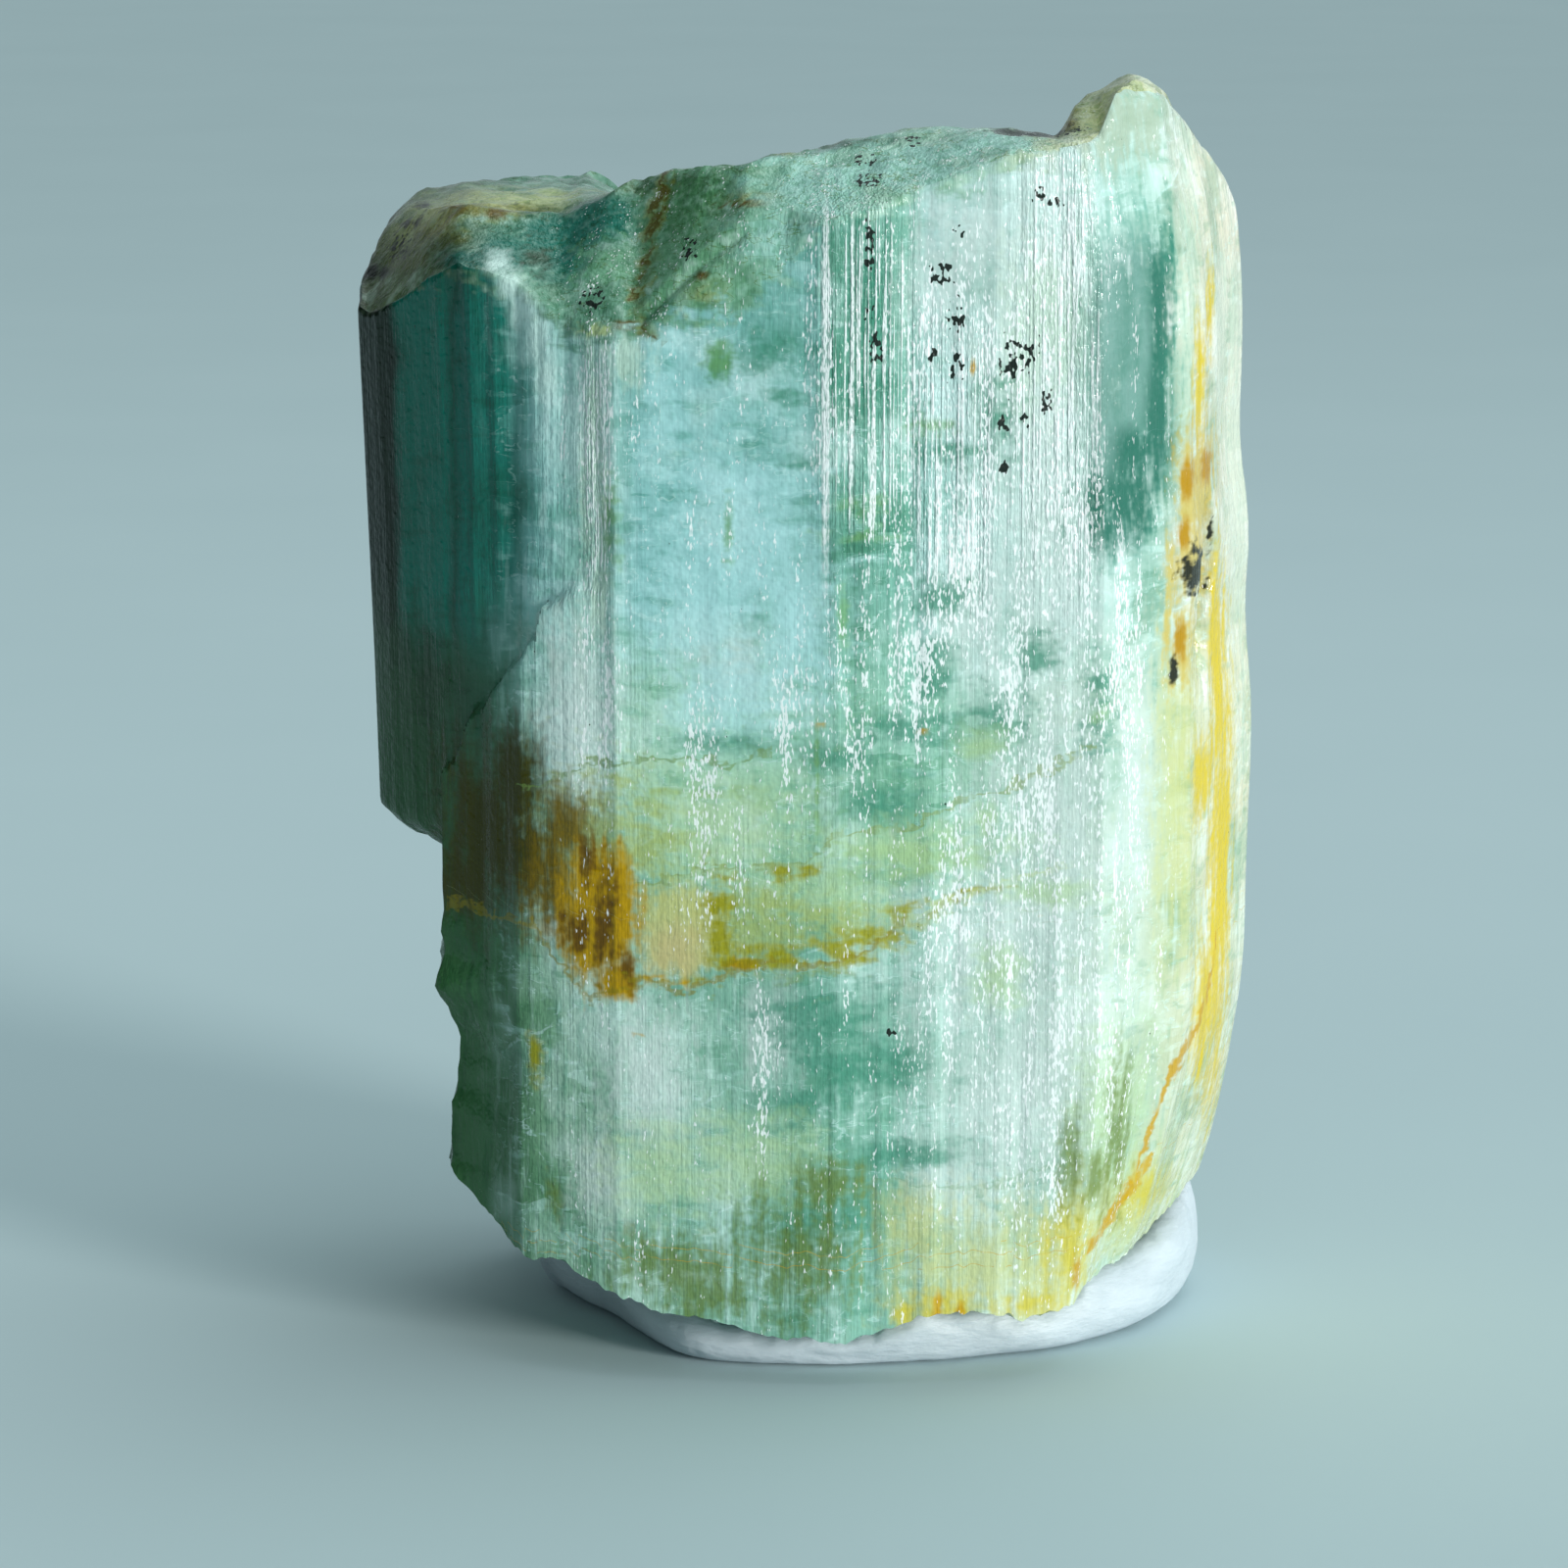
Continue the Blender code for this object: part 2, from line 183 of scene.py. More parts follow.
def stripes(along, x, y, z):
    """The upright stripes of a beryl face: flat strips that come and go with height."""
    total = 0.0
    for seed, (width, length, depth) in enumerate(STRIPES, start=3):
        total = total + depth * relief(along / width, z / length, seed, ridged=True)
    strength = np.where(y < 0, curve(STRIPE_STRENGTH, x), 0.9)
    return total * strength * (0.75 + 0.4 * relief(along / 6.0, z / 15.0, 11))


def pocket(angle, radius, z):
    """How deep the pocket in the right side goes at a place."""
    across = (angle - np.radians(POCKET_DIRECTION)) * radius / POCKET_HALF_WIDTH
    outside = np.hypot(across, (z - POCKET_HEIGHT) / POCKET_HALF_HEIGHT)
    torn = 0.2 * relief(across * 1.6, z / 1.2, 61) + 0.12 * relief(across * 4.0, z / 0.5, 63)
    return POCKET_DEPTH * step(1.0, 0.6, outside + torn)


def broken_layer(x, y, along, z):
    """How far the front lies in where the outer layer is broken off: a ledge and a slope beside it."""
    ragged = 0.35 * relief(along / 1.3, z / 1.1, 17) + 0.1 * relief(along / 0.5, z / 0.5, 19)
    above = z - curve(LAYER_LEDGE, x) - ragged
    left = curve(LAYER_UPRIGHT, z) - x - ragged
    return LAYER_DEPTH * step(-0.3, 0.3, above) * step(-1.0, 6.5, left) * step(2.0, -2.0, y)


def growth_plates(along, y, z):
    """How far the back lies in: upright plates that end at different heights, with torn ends."""
    torn = 1.6 * relief(along / 1.1, z / 2.0, 31)
    outer = step(-0.12, 0.12, relief(along / 6.5, (z + torn) / 21.0, 29))
    inner = step(0.1, 0.34, relief(along / 4.1, (z + torn) / 16.0, 33))
    pits = relief(along / 1.3, z / 1.6, 35) * outer
    return (0.65 * outer + 0.5 * inner + 0.2 * pits) * step(4.0, 9.0, y)


def crystal_radius(angle, along, z):
    """The distance of the crystal's side from the axis."""
    main = reach(MAIN_PLAN, angle)
    x, y = main * np.cos(angle), main * np.sin(angle)
    main = main + step(8.0, 18.0, x) * eased(RIGHT_SWELL, z, 1.5)
    main = main + step(-12.0, -16.5, x) * eased(LEFT_SWELL, z, 0.4)
    notches = 0.22 * relief(z / 0.9, along / 2.4, 39) + 0.1 * relief(z / 0.4, along / 1.2, 40)
    main = main + notches * step(-13.0, -16.0, x) * step(24.0, 20.0, z)
    main = main + 0.25 * relief(along / 5.0, z / 7.0, 37) * step(12.0, 19.0, x)
    main = main - pocket(angle, main, z) - broken_layer(x, y, along, z)

    slim = reach(SLIM_PLAN, angle) * (1.0 + 0.0014 * (z - 36.0))
    foot = SLIM_FOOT + 0.35 * relief(along / 1.7, z * 0.0, 23)
    slim = np.where(z > foot, slim - step(foot + 1.3, foot, z) ** 2, 0.0)
    return np.maximum(main, slim) + stripes(along, x, y, z) - growth_plates(along, y, z)


def rubble(x, y, seed):
    """The hackly ground of a broken face."""
    total = 0.0
    for layer, (width, depth, height) in enumerate(RUBBLE):
        total = total + height * relief(x / width, y / depth, seed + layer)
    return total


def top_height(x, y):
    """The upper break: it climbs from the front rim to a ridge, and falls away behind it."""
    front = curve(FRONT_EDGE, x)
    climb = curve(FRONT_RIM, x) + curve(CLIMB, x) * (y - front)
    behind = curve(RIDGE, x) - curve(FALL, x) * np.maximum(y - curve(RIDGE_LINE, x), 0.0)
    return np.minimum(climb, behind) + 0.7 * step(0.2, 3.0, y - front) * rubble(x, y, 41)


def foot_height(x, y):
    """The lower break: lowest along a line near the front, with a torn edge."""
    torn = 0.2 * relief(x / 0.7, y / 0.7, 57) + 0.13 * relief(x / 0.3, y / 0.3, 59)
    return curve(FOOT_EDGE, x) + 0.05 * np.abs(y + 4.0) + 0.3 * rubble(x, y, 53) + torn


def columns(front_count, back_count):
    """Directions round the crystal, closer together at the front, and the length along it at each."""
    half_turn = 3600
    dense = np.linspace(-np.pi, np.pi, 2 * half_turn + 1)
    radius = np.maximum(reach(MAIN_PLAN, dense), reach(SLIM_PLAN, dense))
    x, y = radius * np.cos(dense), radius * np.sin(dense)
    travelled = np.concatenate([[0.0], np.cumsum(np.hypot(np.diff(x), np.diff(y)))])
    middle, end = travelled[half_turn], travelled[-1]
    front = np.linspace(0.0, middle, front_count, endpoint=False)
    back = np.linspace(middle, end, back_count, endpoint=False)
    along = np.concatenate([front, back])
    return np.interp(along, travelled, dense), along


def rim_height(height, angle, along, first_guess):
    """Where the crystal's side meets a break, found by going back and forth between the two."""
    z = np.full_like(angle, first_guess)
    for _ in range(6):
        radius = crystal_radius(angle, along, z)
        z = 0.5 * z + 0.5 * height(radius * np.cos(angle), radius * np.sin(angle))
    return z


def cap_rings(edge, height, shares):
    """The rings of a break, from just inside its rim to near its middle, coarser as they shrink."""
    x, y, z = edge
    rings = []
    for share in shares:
        # Rings that have shrunk keep every second, fourth or eighth point.
        keep = 1 if share > 0.985 else 2 if share > 0.5 else 4 if share > 0.2 else 8
        inside = step(1.0, 0.985, share)
        ring = (x * share, y * share, z * (1 - inside) + height(x * share, y * share) * inside)
        rings.append(tuple(part[::keep] for part in ring))
    return rings


def strip(lower, upper):
    """The faces between two closed rows of vertex numbers, where one may have twice as many."""
    m, n = len(lower), len(upper)
    if m == n:
        return [(lower[i], lower[(i + 1) % m], upper[(i + 1) % m], upper[i]) for i in range(m)]
    if m < n:
        return [face[::-1] for face in strip(upper, lower)]
    faces = []
    for i in range(n):
        a, b, c = lower[2 * i], lower[2 * i + 1], lower[(2 * i + 2) % m]
        faces += [(a, b, upper[i]), (b, upper[(i + 1) % n], upper[i]), (b, c, upper[(i + 1) % n])]
    return faces


def put_in_scene(name, data):
    """Makes an object with that mesh, lamp or camera."""
    made = bpy.data.objects.new(name, data)
    bpy.context.scene.collection.objects.link(made)
    return made


def closed_piece(name, rings, smooth_degrees):
    """Bridges rings into one closed mesh inside the box of the solids. Gives it and its points."""
    points = [np.column_stack(ring) for ring in rings]
    points = [points[0].mean(0, keepdims=True)] + points + [points[-1].mean(0, keepdims=True)]
    starts = np.cumsum([0] + [len(ring) for ring in points])
    rows = [list(range(a, b)) for a, b in zip(starts[:-1], starts[1:])]
    faces = []
    for lower, upper in zip(rows[1:-2], rows[2:-1]):
        faces += strip(lower, upper)
    first, last = rows[1], rows[-2]
    faces += [(first[(i + 1) % len(first)], first[i], 0) for i in range(len(first))]
    faces += [(last[i], last[(i + 1) % len(last)], rows[-1][0]) for i in range(len(last))]
    points = np.concatenate(points)
    low, high = (np.array(corner) for corner in frame_bounds)
    corners = np.clip((points - BOX_CENTRE) * METRES, low, high)
    data = bpy.data.meshes.new(name)
    data.from_pydata(corners.tolist(), [], faces)
    data.shade_smooth()
    data.set_sharp_from_angle(angle=np.radians(smooth_degrees))
    return put_in_scene(name, data), points


FRONT_COLUMNS = 490
BACK_COLUMNS = 230
ROWS = 108
SHARP_DEGREES = 42.0
# How far down the side the upper rim is rounded, by x. The middle of the front is worn the most.
ROUNDING = [(-14.0, 0.3), (-12.0, 0.6), (-8.0, 1.6), (-1.0, 2.2), (0.6, 0.35), (10.0, 0.3), (13.0, 0.6)]
# How deep the rounding goes for its height, and how far its curve turns towards level.
ROUNDING_DEPTH = 0.55
ROUNDING_TURN = 0.85

angle, along = columns(FRONT_COLUMNS, BACK_COLUMNS)
top = rim_height(top_height, angle, along, first_guess=52.0)
foot = rim_height(foot_height, angle, along, first_guess=5.0)
# The rows are closest where the ledge and the pocket are.
row_shares = np.linspace(0.0, 1.0, ROWS)
row_shares = np.interp(row_shares, [0.0, 0.32, 0.74, 1.0], [0.0, 0.42, 0.7, 0.988])
row_shares = np.append(row_shares, [0.992, 0.995, 0.998, 1.0])
rim_radius = crystal_radius(angle, along, top)
rounding = curve(ROUNDING, rim_radius * np.cos(angle))
side = []
for share in row_shares:
    z = foot + (top - foot) * share
    radius = crystal_radius(angle, along, z)
    rise = np.clip(1.0 - (top - z) / rounding, 0.0, 1.0)
    radius = radius - ROUNDING_DEPTH * rounding * (1.0 - np.sqrt(1.0 - ROUNDING_TURN * rise * rise))
    side.append((radius * np.cos(angle), radius * np.sin(angle), z))
top_shares = np.concatenate([[0.995, 0.988], np.linspace(0.975, 0.5, 20), np.linspace(0.46, 0.05, 12)])
foot_shares = [0.995, 0.97, 0.94, 0.89, 0.82, 0.74, 0.65, 0.55, 0.44, 0.33, 0.22, 0.12, 0.05]
rings = cap_rings(side[0], foot_height, foot_shares)[::-1] + side
rings += cap_rings(side[-1], top_height, top_shares)
crystal, points = closed_piece("crystal", rings, SHARP_DEGREES)
point_x, point_y, point_z = points.T


marks = {}
MARKS_TOGETHER = 3


def mark(name, values):
    """Keeps one number for each point of the crystal, for its material to read."""
    marks[name] = np.asarray(values, "f")


# The height at which each point appears from the front: what lies further back looks higher.
VIEW_SLOPE = np.tan(np.radians(12.0))
FURTHEST_SEEN = 12.0
behind_edge = np.clip(point_y - curve(FRONT_EDGE, point_x), 0.0, FURTHEST_SEEN)
point_seen = point_z + VIEW_SLOPE * behind_edge
# The value far from every mark, the y where the front's marks end, and how slowly they end there.
FAR_AWAY = 9.0
FRONT_ENDS = 2.0
END_LENGTH = 4.0


def distance_to(spots, behind=False):
    """How many half widths each point lies from the nearest spot on its side, 1 at the spot's edge."""
    nearest = np.full(len(points), FAR_AWAY)
    appears = point_z if behind else point_seen
    for middle_x, middle_z, half_width, half_height, *depth in spots:
        across = np.abs(point_x - middle_x) / half_width
        upward = np.abs(appears - middle_z) / half_height
        inward = np.abs(point_y - depth[0]) / depth[1] if depth else 0.0
        nearest = np.minimum(nearest, (across ** 3 + upward ** 3 + inward ** 3) ** (1 / 3))
    past = FRONT_ENDS - point_y if behind else point_y - FRONT_ENDS
    return nearest + np.maximum(past, 0.0) / END_LENGTH


# Spots of one colour: which way their edges are torn and how far, how soft they are, their strength,
# their colour, and each one's middle x and z, half width and half height, for some also its middle y
# and half depth. Later ones lie on top.
SPOTS = {
    # Milky clouds in the crystal. On the right front these spots also stand for a painted sheen.
    "cloudy white and painted sheen": ("upright", 3.0, 1.0, 0.75, (0.58, 0.69, 0.66), [
        (9.6, 48.0, 2.2, 7.0), (6.2, 50.5, 1.4, 3.0), (11.0, 40.0, 2.2, 8.0), (8.8, 20.5, 4.4, 3.4),
        (11.4, 27.5, 2.8, 5.0), (10.0, 14.0, 3.6, 4.6), (-10.4, 31.0, 1.4, 3.4), (-7.2, 14.5, 1.6, 2.6),
        (-3.4, 33.5, 1.6, 1.6), (-9.3, 9.5, 1.2, 1.6), (7.4, 36.0, 1.2, 3.0), (15.0, 27.0, 1.0, 5.0),
        (-1.6, 16.6, 1.0, 1.8), (6.0, 10.0, 1.4, 2.0), (7.0, 52.2, 1.6, 2.0),
    ]),
    "pale blue": ("level", 2.4, 1.0, 0.75, (0.42, 0.72, 0.73), [
        (-5.0, 36.4, 2.2, 3.2), (-2.4, 38.4, 2.6, 3.2), (-6.4, 45.0, 0.9, 2.0), (-3.4, 31.8, 2.4, 2.4),
        (-0.4, 35.0, 1.6, 3.0), (-3.0, 41.6, 2.4, 1.0),
    ]),
    "cream": ("upright", 3.4, 0.9, 0.65, (0.5, 0.66, 0.53), [
        (-9.4, 43.0, 0.5, 5.0), (-9.4, 36.6, 0.5, 1.6), (-8.2, 47.2, 1.0, 1.0), (10.8, 48.6, 1.6, 2.6),
        (17.0, 47.0, 0.5, 7.0),
    ]),
    "dull peak": ("upright", 3.0, 0.8, 0.75, (0.38, 0.46, 0.34), [
        (14.0, 57.6, 2.4, 1.6), (18.6, 54.6, 0.5, 1.6),
    ]),
    "clear teal": ("level", 3.4, 1.0, 0.85, (0.05, 0.25, 0.165), [
        (-1.5, 47.6, 1.1, 0.9), (-0.9, 45.4, 0.7, 0.3), (-0.4, 42.7, 0.8, 0.25), (2.6, 49.6, 1.0, 2.6),
        (2.8, 46.0, 1.6, 1.0), (6.2, 43.0, 1.7, 0.4), (2.9, 27.3, 1.6, 0.8), (1.4, 29.3, 1.6, 0.5),
        (5.6, 33.2, 0.7, 1.1), (4.4, 30.6, 2.0, 0.6), (8.6, 31.0, 1.2, 1.2), (0.4, 17.4, 2.4, 1.4),
        (2.4, 15.2, 3.0, 1.0), (-0.4, 13.4, 2.0, 0.5), (0.8, 8.0, 2.4, 1.5), (-3.6, 29.9, 2.0, 0.4),
        (6.0, 36.6, 1.0, 0.7), (13.2, 31.5, 0.7, 1.6), (4.4, 11.0, 2.0, 0.5), (-3.9, 46.9, 0.4, 0.6),
        (3.2, 23.9, 1.8, 0.4), (8.4, 44.6, 0.8, 1.4), (10.0, 34.0, 0.8, 0.8),
    ]),
    "window": ("upright", 2.0, 0.5, 0.78, (0.09, 0.32, 0.25), [
        (14.3, 48.2, 1.9, 4.2), (14.5, 43.5, 1.9, 3.2), (13.9, 40.4, 1.5, 2.2),
    ]),
    "deep window": ("upright", 3.0, 0.6, 0.8, (0.015, 0.18, 0.12), [
        (15.8, 48.4, 0.45, 3.6), (14.8, 42.8, 1.4, 0.9), (14.0, 40.6, 1.6, 1.5), (15.6, 44.6, 0.5, 1.6),
    ]),
    "veil": ("upright", 3.4, 1.0, 0.3, (0.42, 0.66, 0.62), [
        (13.3, 48.4, 0.5, 2.6), (14.7, 49.6, 0.3, 1.6), (14.4, 45.4, 0.6, 1.0), (15.0, 47.4, 0.25, 1.2),
        (13.2, 43.6, 0.4, 1.4),
    ]),
    "spring green": ("level", 4.0, 1.0, 0.7, (0.13, 0.32, 0.09), [
        (-4.0, 47.3, 0.4, 0.65), (2.4, 40.7, 0.9, 0.4), (2.1, 39.3, 1.1, 0.2), (5.6, 44.1, 0.7, 0.35),
        (4.0, 24.8, 2.2, 0.4), (-4.4, 27.6, 1.6, 0.3), (1.6, 35.6, 0.2, 1.0), (-3.5, 39.6, 0.15, 0.8),
        (0.45, 28.2, 0.08, 2.2), (-8.7, 40.0, 0.3, 1.4),
    ]),
    "green haze": ("level", 2.6, 1.0, 0.7, (0.4, 0.58, 0.3), [
        (-4.4, 26.0, 3.6, 2.4), (0.5, 23.2, 3.4, 1.4), (4.4, 25.0, 3.4, 1.0), (-2.6, 10.6, 2.6, 1.6),
        (-6.6, 10.0, 2.0, 1.6), (8.6, 19.0, 0.9, 1.2), (11.0, 23.0, 1.6, 0.5), (14.0, 11.6, 1.4, 3.4),
        (8.0, 29.9, 0.9, 0.6), (8.0, 26.2, 0.4, 0.7), (13.1, 31.2, 0.4, 0.3),
    ]),
    "iron haze": ("level", 3.0, 0.9, 0.65, (0.34, 0.4, 0.07), [
        (-9.8, 25.2, 2.6, 2.4), (-2.2, 21.4, 2.0, 1.6), (1.6, 21.6, 2.4, 0.8), (-7.6, 24.8, 1.6, 1.2),
        (-9.6, 48.4, 0.8, 0.3),
    ]),
    "peach": ("upright", 1.0, 0.3, 0.8, (0.5, 0.5, 0.17), [(-5.7, 21.2, 1.9, 2.0)]),
    "pink": ("upright", 1.6, 0.9, 0.45, (0.56, 0.4, 0.2), [
        (-6.0, 20.2, 1.2, 1.0), (-11.6, 21.0, 0.8, 0.4),
    ]),
    "iron shade": ("upright", 1.4, 0.6, 1.0, (0.045, 0.046, 0.0), [
        (-14.5, 25.2, 2.0, 3.8), (-13.2, 27.4, 1.2, 2.8), (-15.4, 22.6, 1.4, 1.6), (-12.7, 24.4, 1.3, 2.4),
    ]),
    "iron amber": ("upright", 2.0, 0.8, 0.95, (0.15, 0.1, 0.0), [
        (-11.4, 23.2, 1.2, 2.4), (-10.6, 25.6, 1.0, 1.6),
    ]),
    "iron gold": ("upright", 1.0, 0.3, 1.0, (0.41, 0.25, 0.0), [
        (-9.4, 21.8, 1.75, 3.1), (-8.6, 18.7, 0.9, 0.9), (-2.9, 19.8, 0.8, 0.35),
    ]),
    "iron brown": ("upright", 3.4, 0.7, 0.85, (0.075, 0.03, 0.0), [
        (-9.1, 21.2, 0.45, 2.0), (-10.4, 21.0, 0.5, 0.8), (-8.2, 19.4, 0.4, 0.9), (-9.9, 24.2, 0.3, 1.2),
    ]),
    "yellow": ("level", 3.6, 0.9, 0.92, (0.3, 0.29, 0.0), [
        (1.6, 20.5, 1.1, 0.6), (3.4, 21.2, 0.9, 0.4), (5.2, 22.5, 1.1, 0.24), (7.4, 23.2, 1.0, 0.14),
        (0.0, 24.2, 0.5, 0.22), (-12.4, 14.8, 0.25, 0.8), (-5.5, 18.9, 1.8, 0.22), (-1.4, 20.1, 1.4, 0.4),
        (-3.9, 21.4, 0.45, 1.5), (-1.2, 24.1, 0.5, 0.3),
    ]),
    "straw": ("upright", 2.4, 1.0, 0.8, (0.54, 0.58, 0.24), [
        (8.6, 5.4, 3.6, 2.4), (14.6, 7.6, 2.2, 1.8), (5.0, 7.4, 1.4, 1.6), (16.8, 27.0, 0.9, 6.0),
    ]),
    "lemon": ("upright", 2.4, 1.0, 0.85, (0.58, 0.5, 0.04), [
        (6.4, 3.6, 1.2, 0.7), (10.4, 3.6, 1.6, 0.5), (12.0, 6.2, 0.9, 1.6), (15.6, 8.0, 1.0, 0.8),
        (4.6, 3.4, 0.6, 0.5),
    ]),
    "olive": ("upright", 3.4, 0.9, 0.8, (0.12, 0.19, 0.025), [
        (-5.8, 5.4, 2.2, 1.2), (-4.4, 4.0, 1.8, 0.8), (-11.6, 8.4, 0.3, 0.8), (14.2, 11.6, 0.45, 2.8),
        (11.9, 11.0, 0.4, 1.8), (13.2, 9.4, 0.4, 1.2), (-0.6, 6.0, 2.0, 2.0), (1.0, 9.6, 1.2, 0.8),
    ]),
    "ochre": ("upright", 1.8, 0.6, 0.85, (0.5, 0.28, 0.0), [
        (6.0, 3.6, 0.2, 0.7), (12.4, 5.0, 0.16, 0.7), (7.0, 3.4, 0.2, 0.4), (5.2, 30.5, 0.25, 0.14),
        (0.6, 30.8, 0.2, 0.14), (10.2, 22.1, 0.3, 0.16), (-6.4, 18.9, 0.9, 0.2), (7.3, 46.9, 0.12, 0.3),
        (-7.6, 16.2, 0.3, 0.16),
    ]),
    # A painted highlight: the glow of light along the right rim of the crystal.
    "painted rim highlight": ("upright", 2.0, 0.7, 0.7, (0.62, 0.7, 0.58), [
        (20.2, 40.0, 0.9, 9.0), (19.0, 46.0, 0.4, 4.0),
    ]),
    "yellow side": ("upright", 2.4, 0.7, 0.95, (0.66, 0.5, 0.0), [
        (19.3, 21.0, 0.55, 9.5), (19.0, 31.0, 0.4, 4.4), (17.8, 45.2, 0.3, 2.6), (18.2, 27.0, 0.5, 1.6),
        (18.6, 15.6, 0.6, 3.0), (18.3, 48.6, 0.2, 2.0), (18.8, 34.0, 0.3, 3.0),
    ]),
    "gold round the pocket": ("upright", 3.0, 0.6, 0.85, (0.56, 0.44, 0.1), [
        (17.6, 40.6, 0.9, 2.4), (17.3, 37.4, 0.9, 2.0), (16.9, 33.6, 0.6, 1.8),
    ]),
    "rust in the pocket": ("upright", 1.6, 0.5, 0.92, (0.42, 0.22, 0.0), [
        (17.2, 41.2, 0.35, 0.8), (18.2, 41.4, 0.3, 0.7), (16.9, 33.8, 0.3, 0.9), (17.0, 38.6, 0.3, 0.6),
    ]),
    "black grain": ("level", 2.4, 0.35, 0.97, (0.008, 0.012, 0.01), [
        (17.6, 36.9, 0.8, 0.85, -7.9, 1.4), (16.6, 32.4, 0.22, 0.6), (18.5, 38.0, 0.14, 0.7),
        (18.2, 35.8, 0.3, 0.3),
    ]),
}
# The same for the broken top, over its own ground.
TOP_SPOTS = {
    "cream top": ("level", 2.4, 0.8, 0.95, (0.56, 0.62, 0.27), [
        (-13.8, 54.8, 4.2, 0.9), (-17.0, 53.6, 1.4, 1.0), (-18.4, 52.0, 1.0, 0.9), (13.2, 58.2, 1.4, 1.0),
    ]),
    "yellow top": ("level", 3.0, 0.8, 0.9, (0.24, 0.23, 0.02), [
        (-14.6, 53.9, 2.2, 0.35), (-17.2, 52.6, 1.2, 0.5), (-12.6, 54.4, 1.0, 0.25),
        (-18.4, 51.0, 0.9, 0.5), (-2.6, 54.4, 1.3, 0.35), (-4.4, 50.2, 0.8, 0.5),
        (11.5, 58.3, 0.4, 0.5), (-1.0, 57.0, 0.6, 0.4),
    ]),
    "teal top": ("level", 1.0, 0.4, 0.95, (0.01, 0.15, 0.11), [
        (-11.2, 52.5, 1.9, 1.8), (-9.3, 53.8, 1.7, 1.4), (-13.4, 51.8, 1.4, 1.0), (-15.4, 51.2, 1.4, 0.5),
    ]),
    "olive top": ("level", 2.4, 0.7, 0.8, (0.06, 0.1, 0.015), [
        (-18.4, 51.2, 1.6, 1.1), (-16.6, 52.0, 1.2, 0.4),
    ]),
    "dark top": ("level", 3.0, 0.7, 0.85, (0.02, 0.06, 0.025), [
        (-12.0, 51.6, 0.7, 0.6), (-6.0, 55.4, 1.6, 0.35), (-3.2, 56.6, 1.2, 0.3), (2.0, 57.3, 3.0, 0.25),
    ]),
    "green top": ("level", 3.4, 0.8, 0.85, (0.07, 0.22, 0.09), [
        (-4.8, 54.0, 1.8, 1.6), (-3.0, 56.0, 1.8, 0.6),
    ]),
    "spring top": ("level", 4.0, 0.8, 0.7, (0.2, 0.44, 0.27), [
        (-4.4, 51.2, 1.8, 1.3), (-3.4, 53.0, 1.4, 0.5), (-8.8, 51.6, 1.1, 0.9),
    ]),
    "pale top": ("level", 4.0, 0.9, 0.85, (0.32, 0.6, 0.52), [
        (0.6, 54.6, 2.4, 2.0), (4.6, 56.0, 2.6, 1.2), (-1.4, 52.4, 1.2, 1.2), (8.0, 57.0, 2.0, 0.8),
    ]),
    "rust top": ("level", 2.0, 0.7, 0.9, (0.12, 0.06, 0.0), [
        (-15.9, 53.7, 0.35, 0.28), (-14.0, 53.8, 0.5, 0.28), (-3.1, 54.2, 0.9, 0.16),
        (-4.6, 50.9, 0.3, 0.2), (10.6, 57.8, 1.0, 0.4), (-8.0, 48.6, 0.5, 0.22), (-7.2, 48.2, 0.4, 0.2),
    ]),
    "black top": ("level", 2.4, 0.5, 0.95, (0.012, 0.012, 0.006), [
        (-17.8, 54.2, 0.4, 0.35), (-18.3, 53.0, 0.5, 0.3), (9.5, 57.6, 1.6, 0.35, -8.6, 1.3),
        (11.1, 58.1, 0.25, 0.5), (18.3, 56.6, 0.5, 0.5),
    ]),
}
# The same for the corner where the slim crystal's top, its faces and the main crystal meet: a painted
# highlight down that corner, and painted shade in a small notch at the slim crystal's top left.
CORNER_SPOTS = {
    "painted corner highlight": ("upright", 1.4, 0.8, 0.85, (0.62, 0.84, 0.78), [
        (-13.8, 51.2, 0.5, 0.6), (-13.3, 50.2, 0.5, 0.7), (-12.7, 49.1, 0.5, 0.8), (-12.1, 47.8, 0.5, 1.0),
        (-11.6, 46.2, 0.5, 1.2),
    ]),
    "painted notch shade": ("level", 1.0, 0.4, 0.95, (0.003, 0.007, 0.005), [(-19.8, 50.2, 0.9, 0.4)]),
}
# The same for the back.
BACK_SPOTS = {
    "cloud behind": ("upright", 3.4, 1.0, 0.75, (0.52, 0.68, 0.63), [
        (9.6, 40.0, 2.6, 9.0), (1.6, 13.0, 2.6, 6.0), (-7.6, 42.0, 1.6, 7.0), (3.0, 48.0, 1.2, 4.0),
        (13.6, 22.0, 1.2, 7.0), (-11.6, 11.0, 1.6, 3.6),
    ]),
    "teal behind": ("upright", 3.4, 0.9, 0.85, (0.02, 0.19, 0.135), [
        (-2.4, 33.0, 2.0, 7.0), (6.4, 25.0, 1.4, 5.0), (-6.4, 15.0, 1.8, 3.4), (13.0, 45.0, 1.0, 6.0),
        (-4.6, 50.0, 1.4, 2.4), (8.6, 10.0, 1.4, 2.4),
    ]),
    "green behind": ("level", 3.0, 1.0, 0.75, (0.36, 0.52, 0.24), [
        (11.0, 20.0, 5.0, 2.4), (-10.0, 23.0, 4.0, 1.8), (1.0, 6.4, 5.0, 1.6), (17.0, 30.0, 1.4, 8.0),
    ]),
    "iron behind": ("level", 3.0, 0.8, 0.85, (0.36, 0.25, 0.01), [
        (13.0, 18.6, 2.4, 0.6), (8.4, 19.4, 2.6, 0.3), (-12.6, 22.4, 2.2, 0.7), (2.6, 5.0, 1.8, 0.5),
        (16.8, 12.0, 0.5, 3.6), (3.6, 20.2, 2.0, 0.16),
    ]),
}
for name, group in (SPOTS | TOP_SPOTS | CORNER_SPOTS).items():
    mark(name, distance_to(group[-1]))
for name, group in BACK_SPOTS.items():
    mark(name, distance_to(group[-1], behind=True))

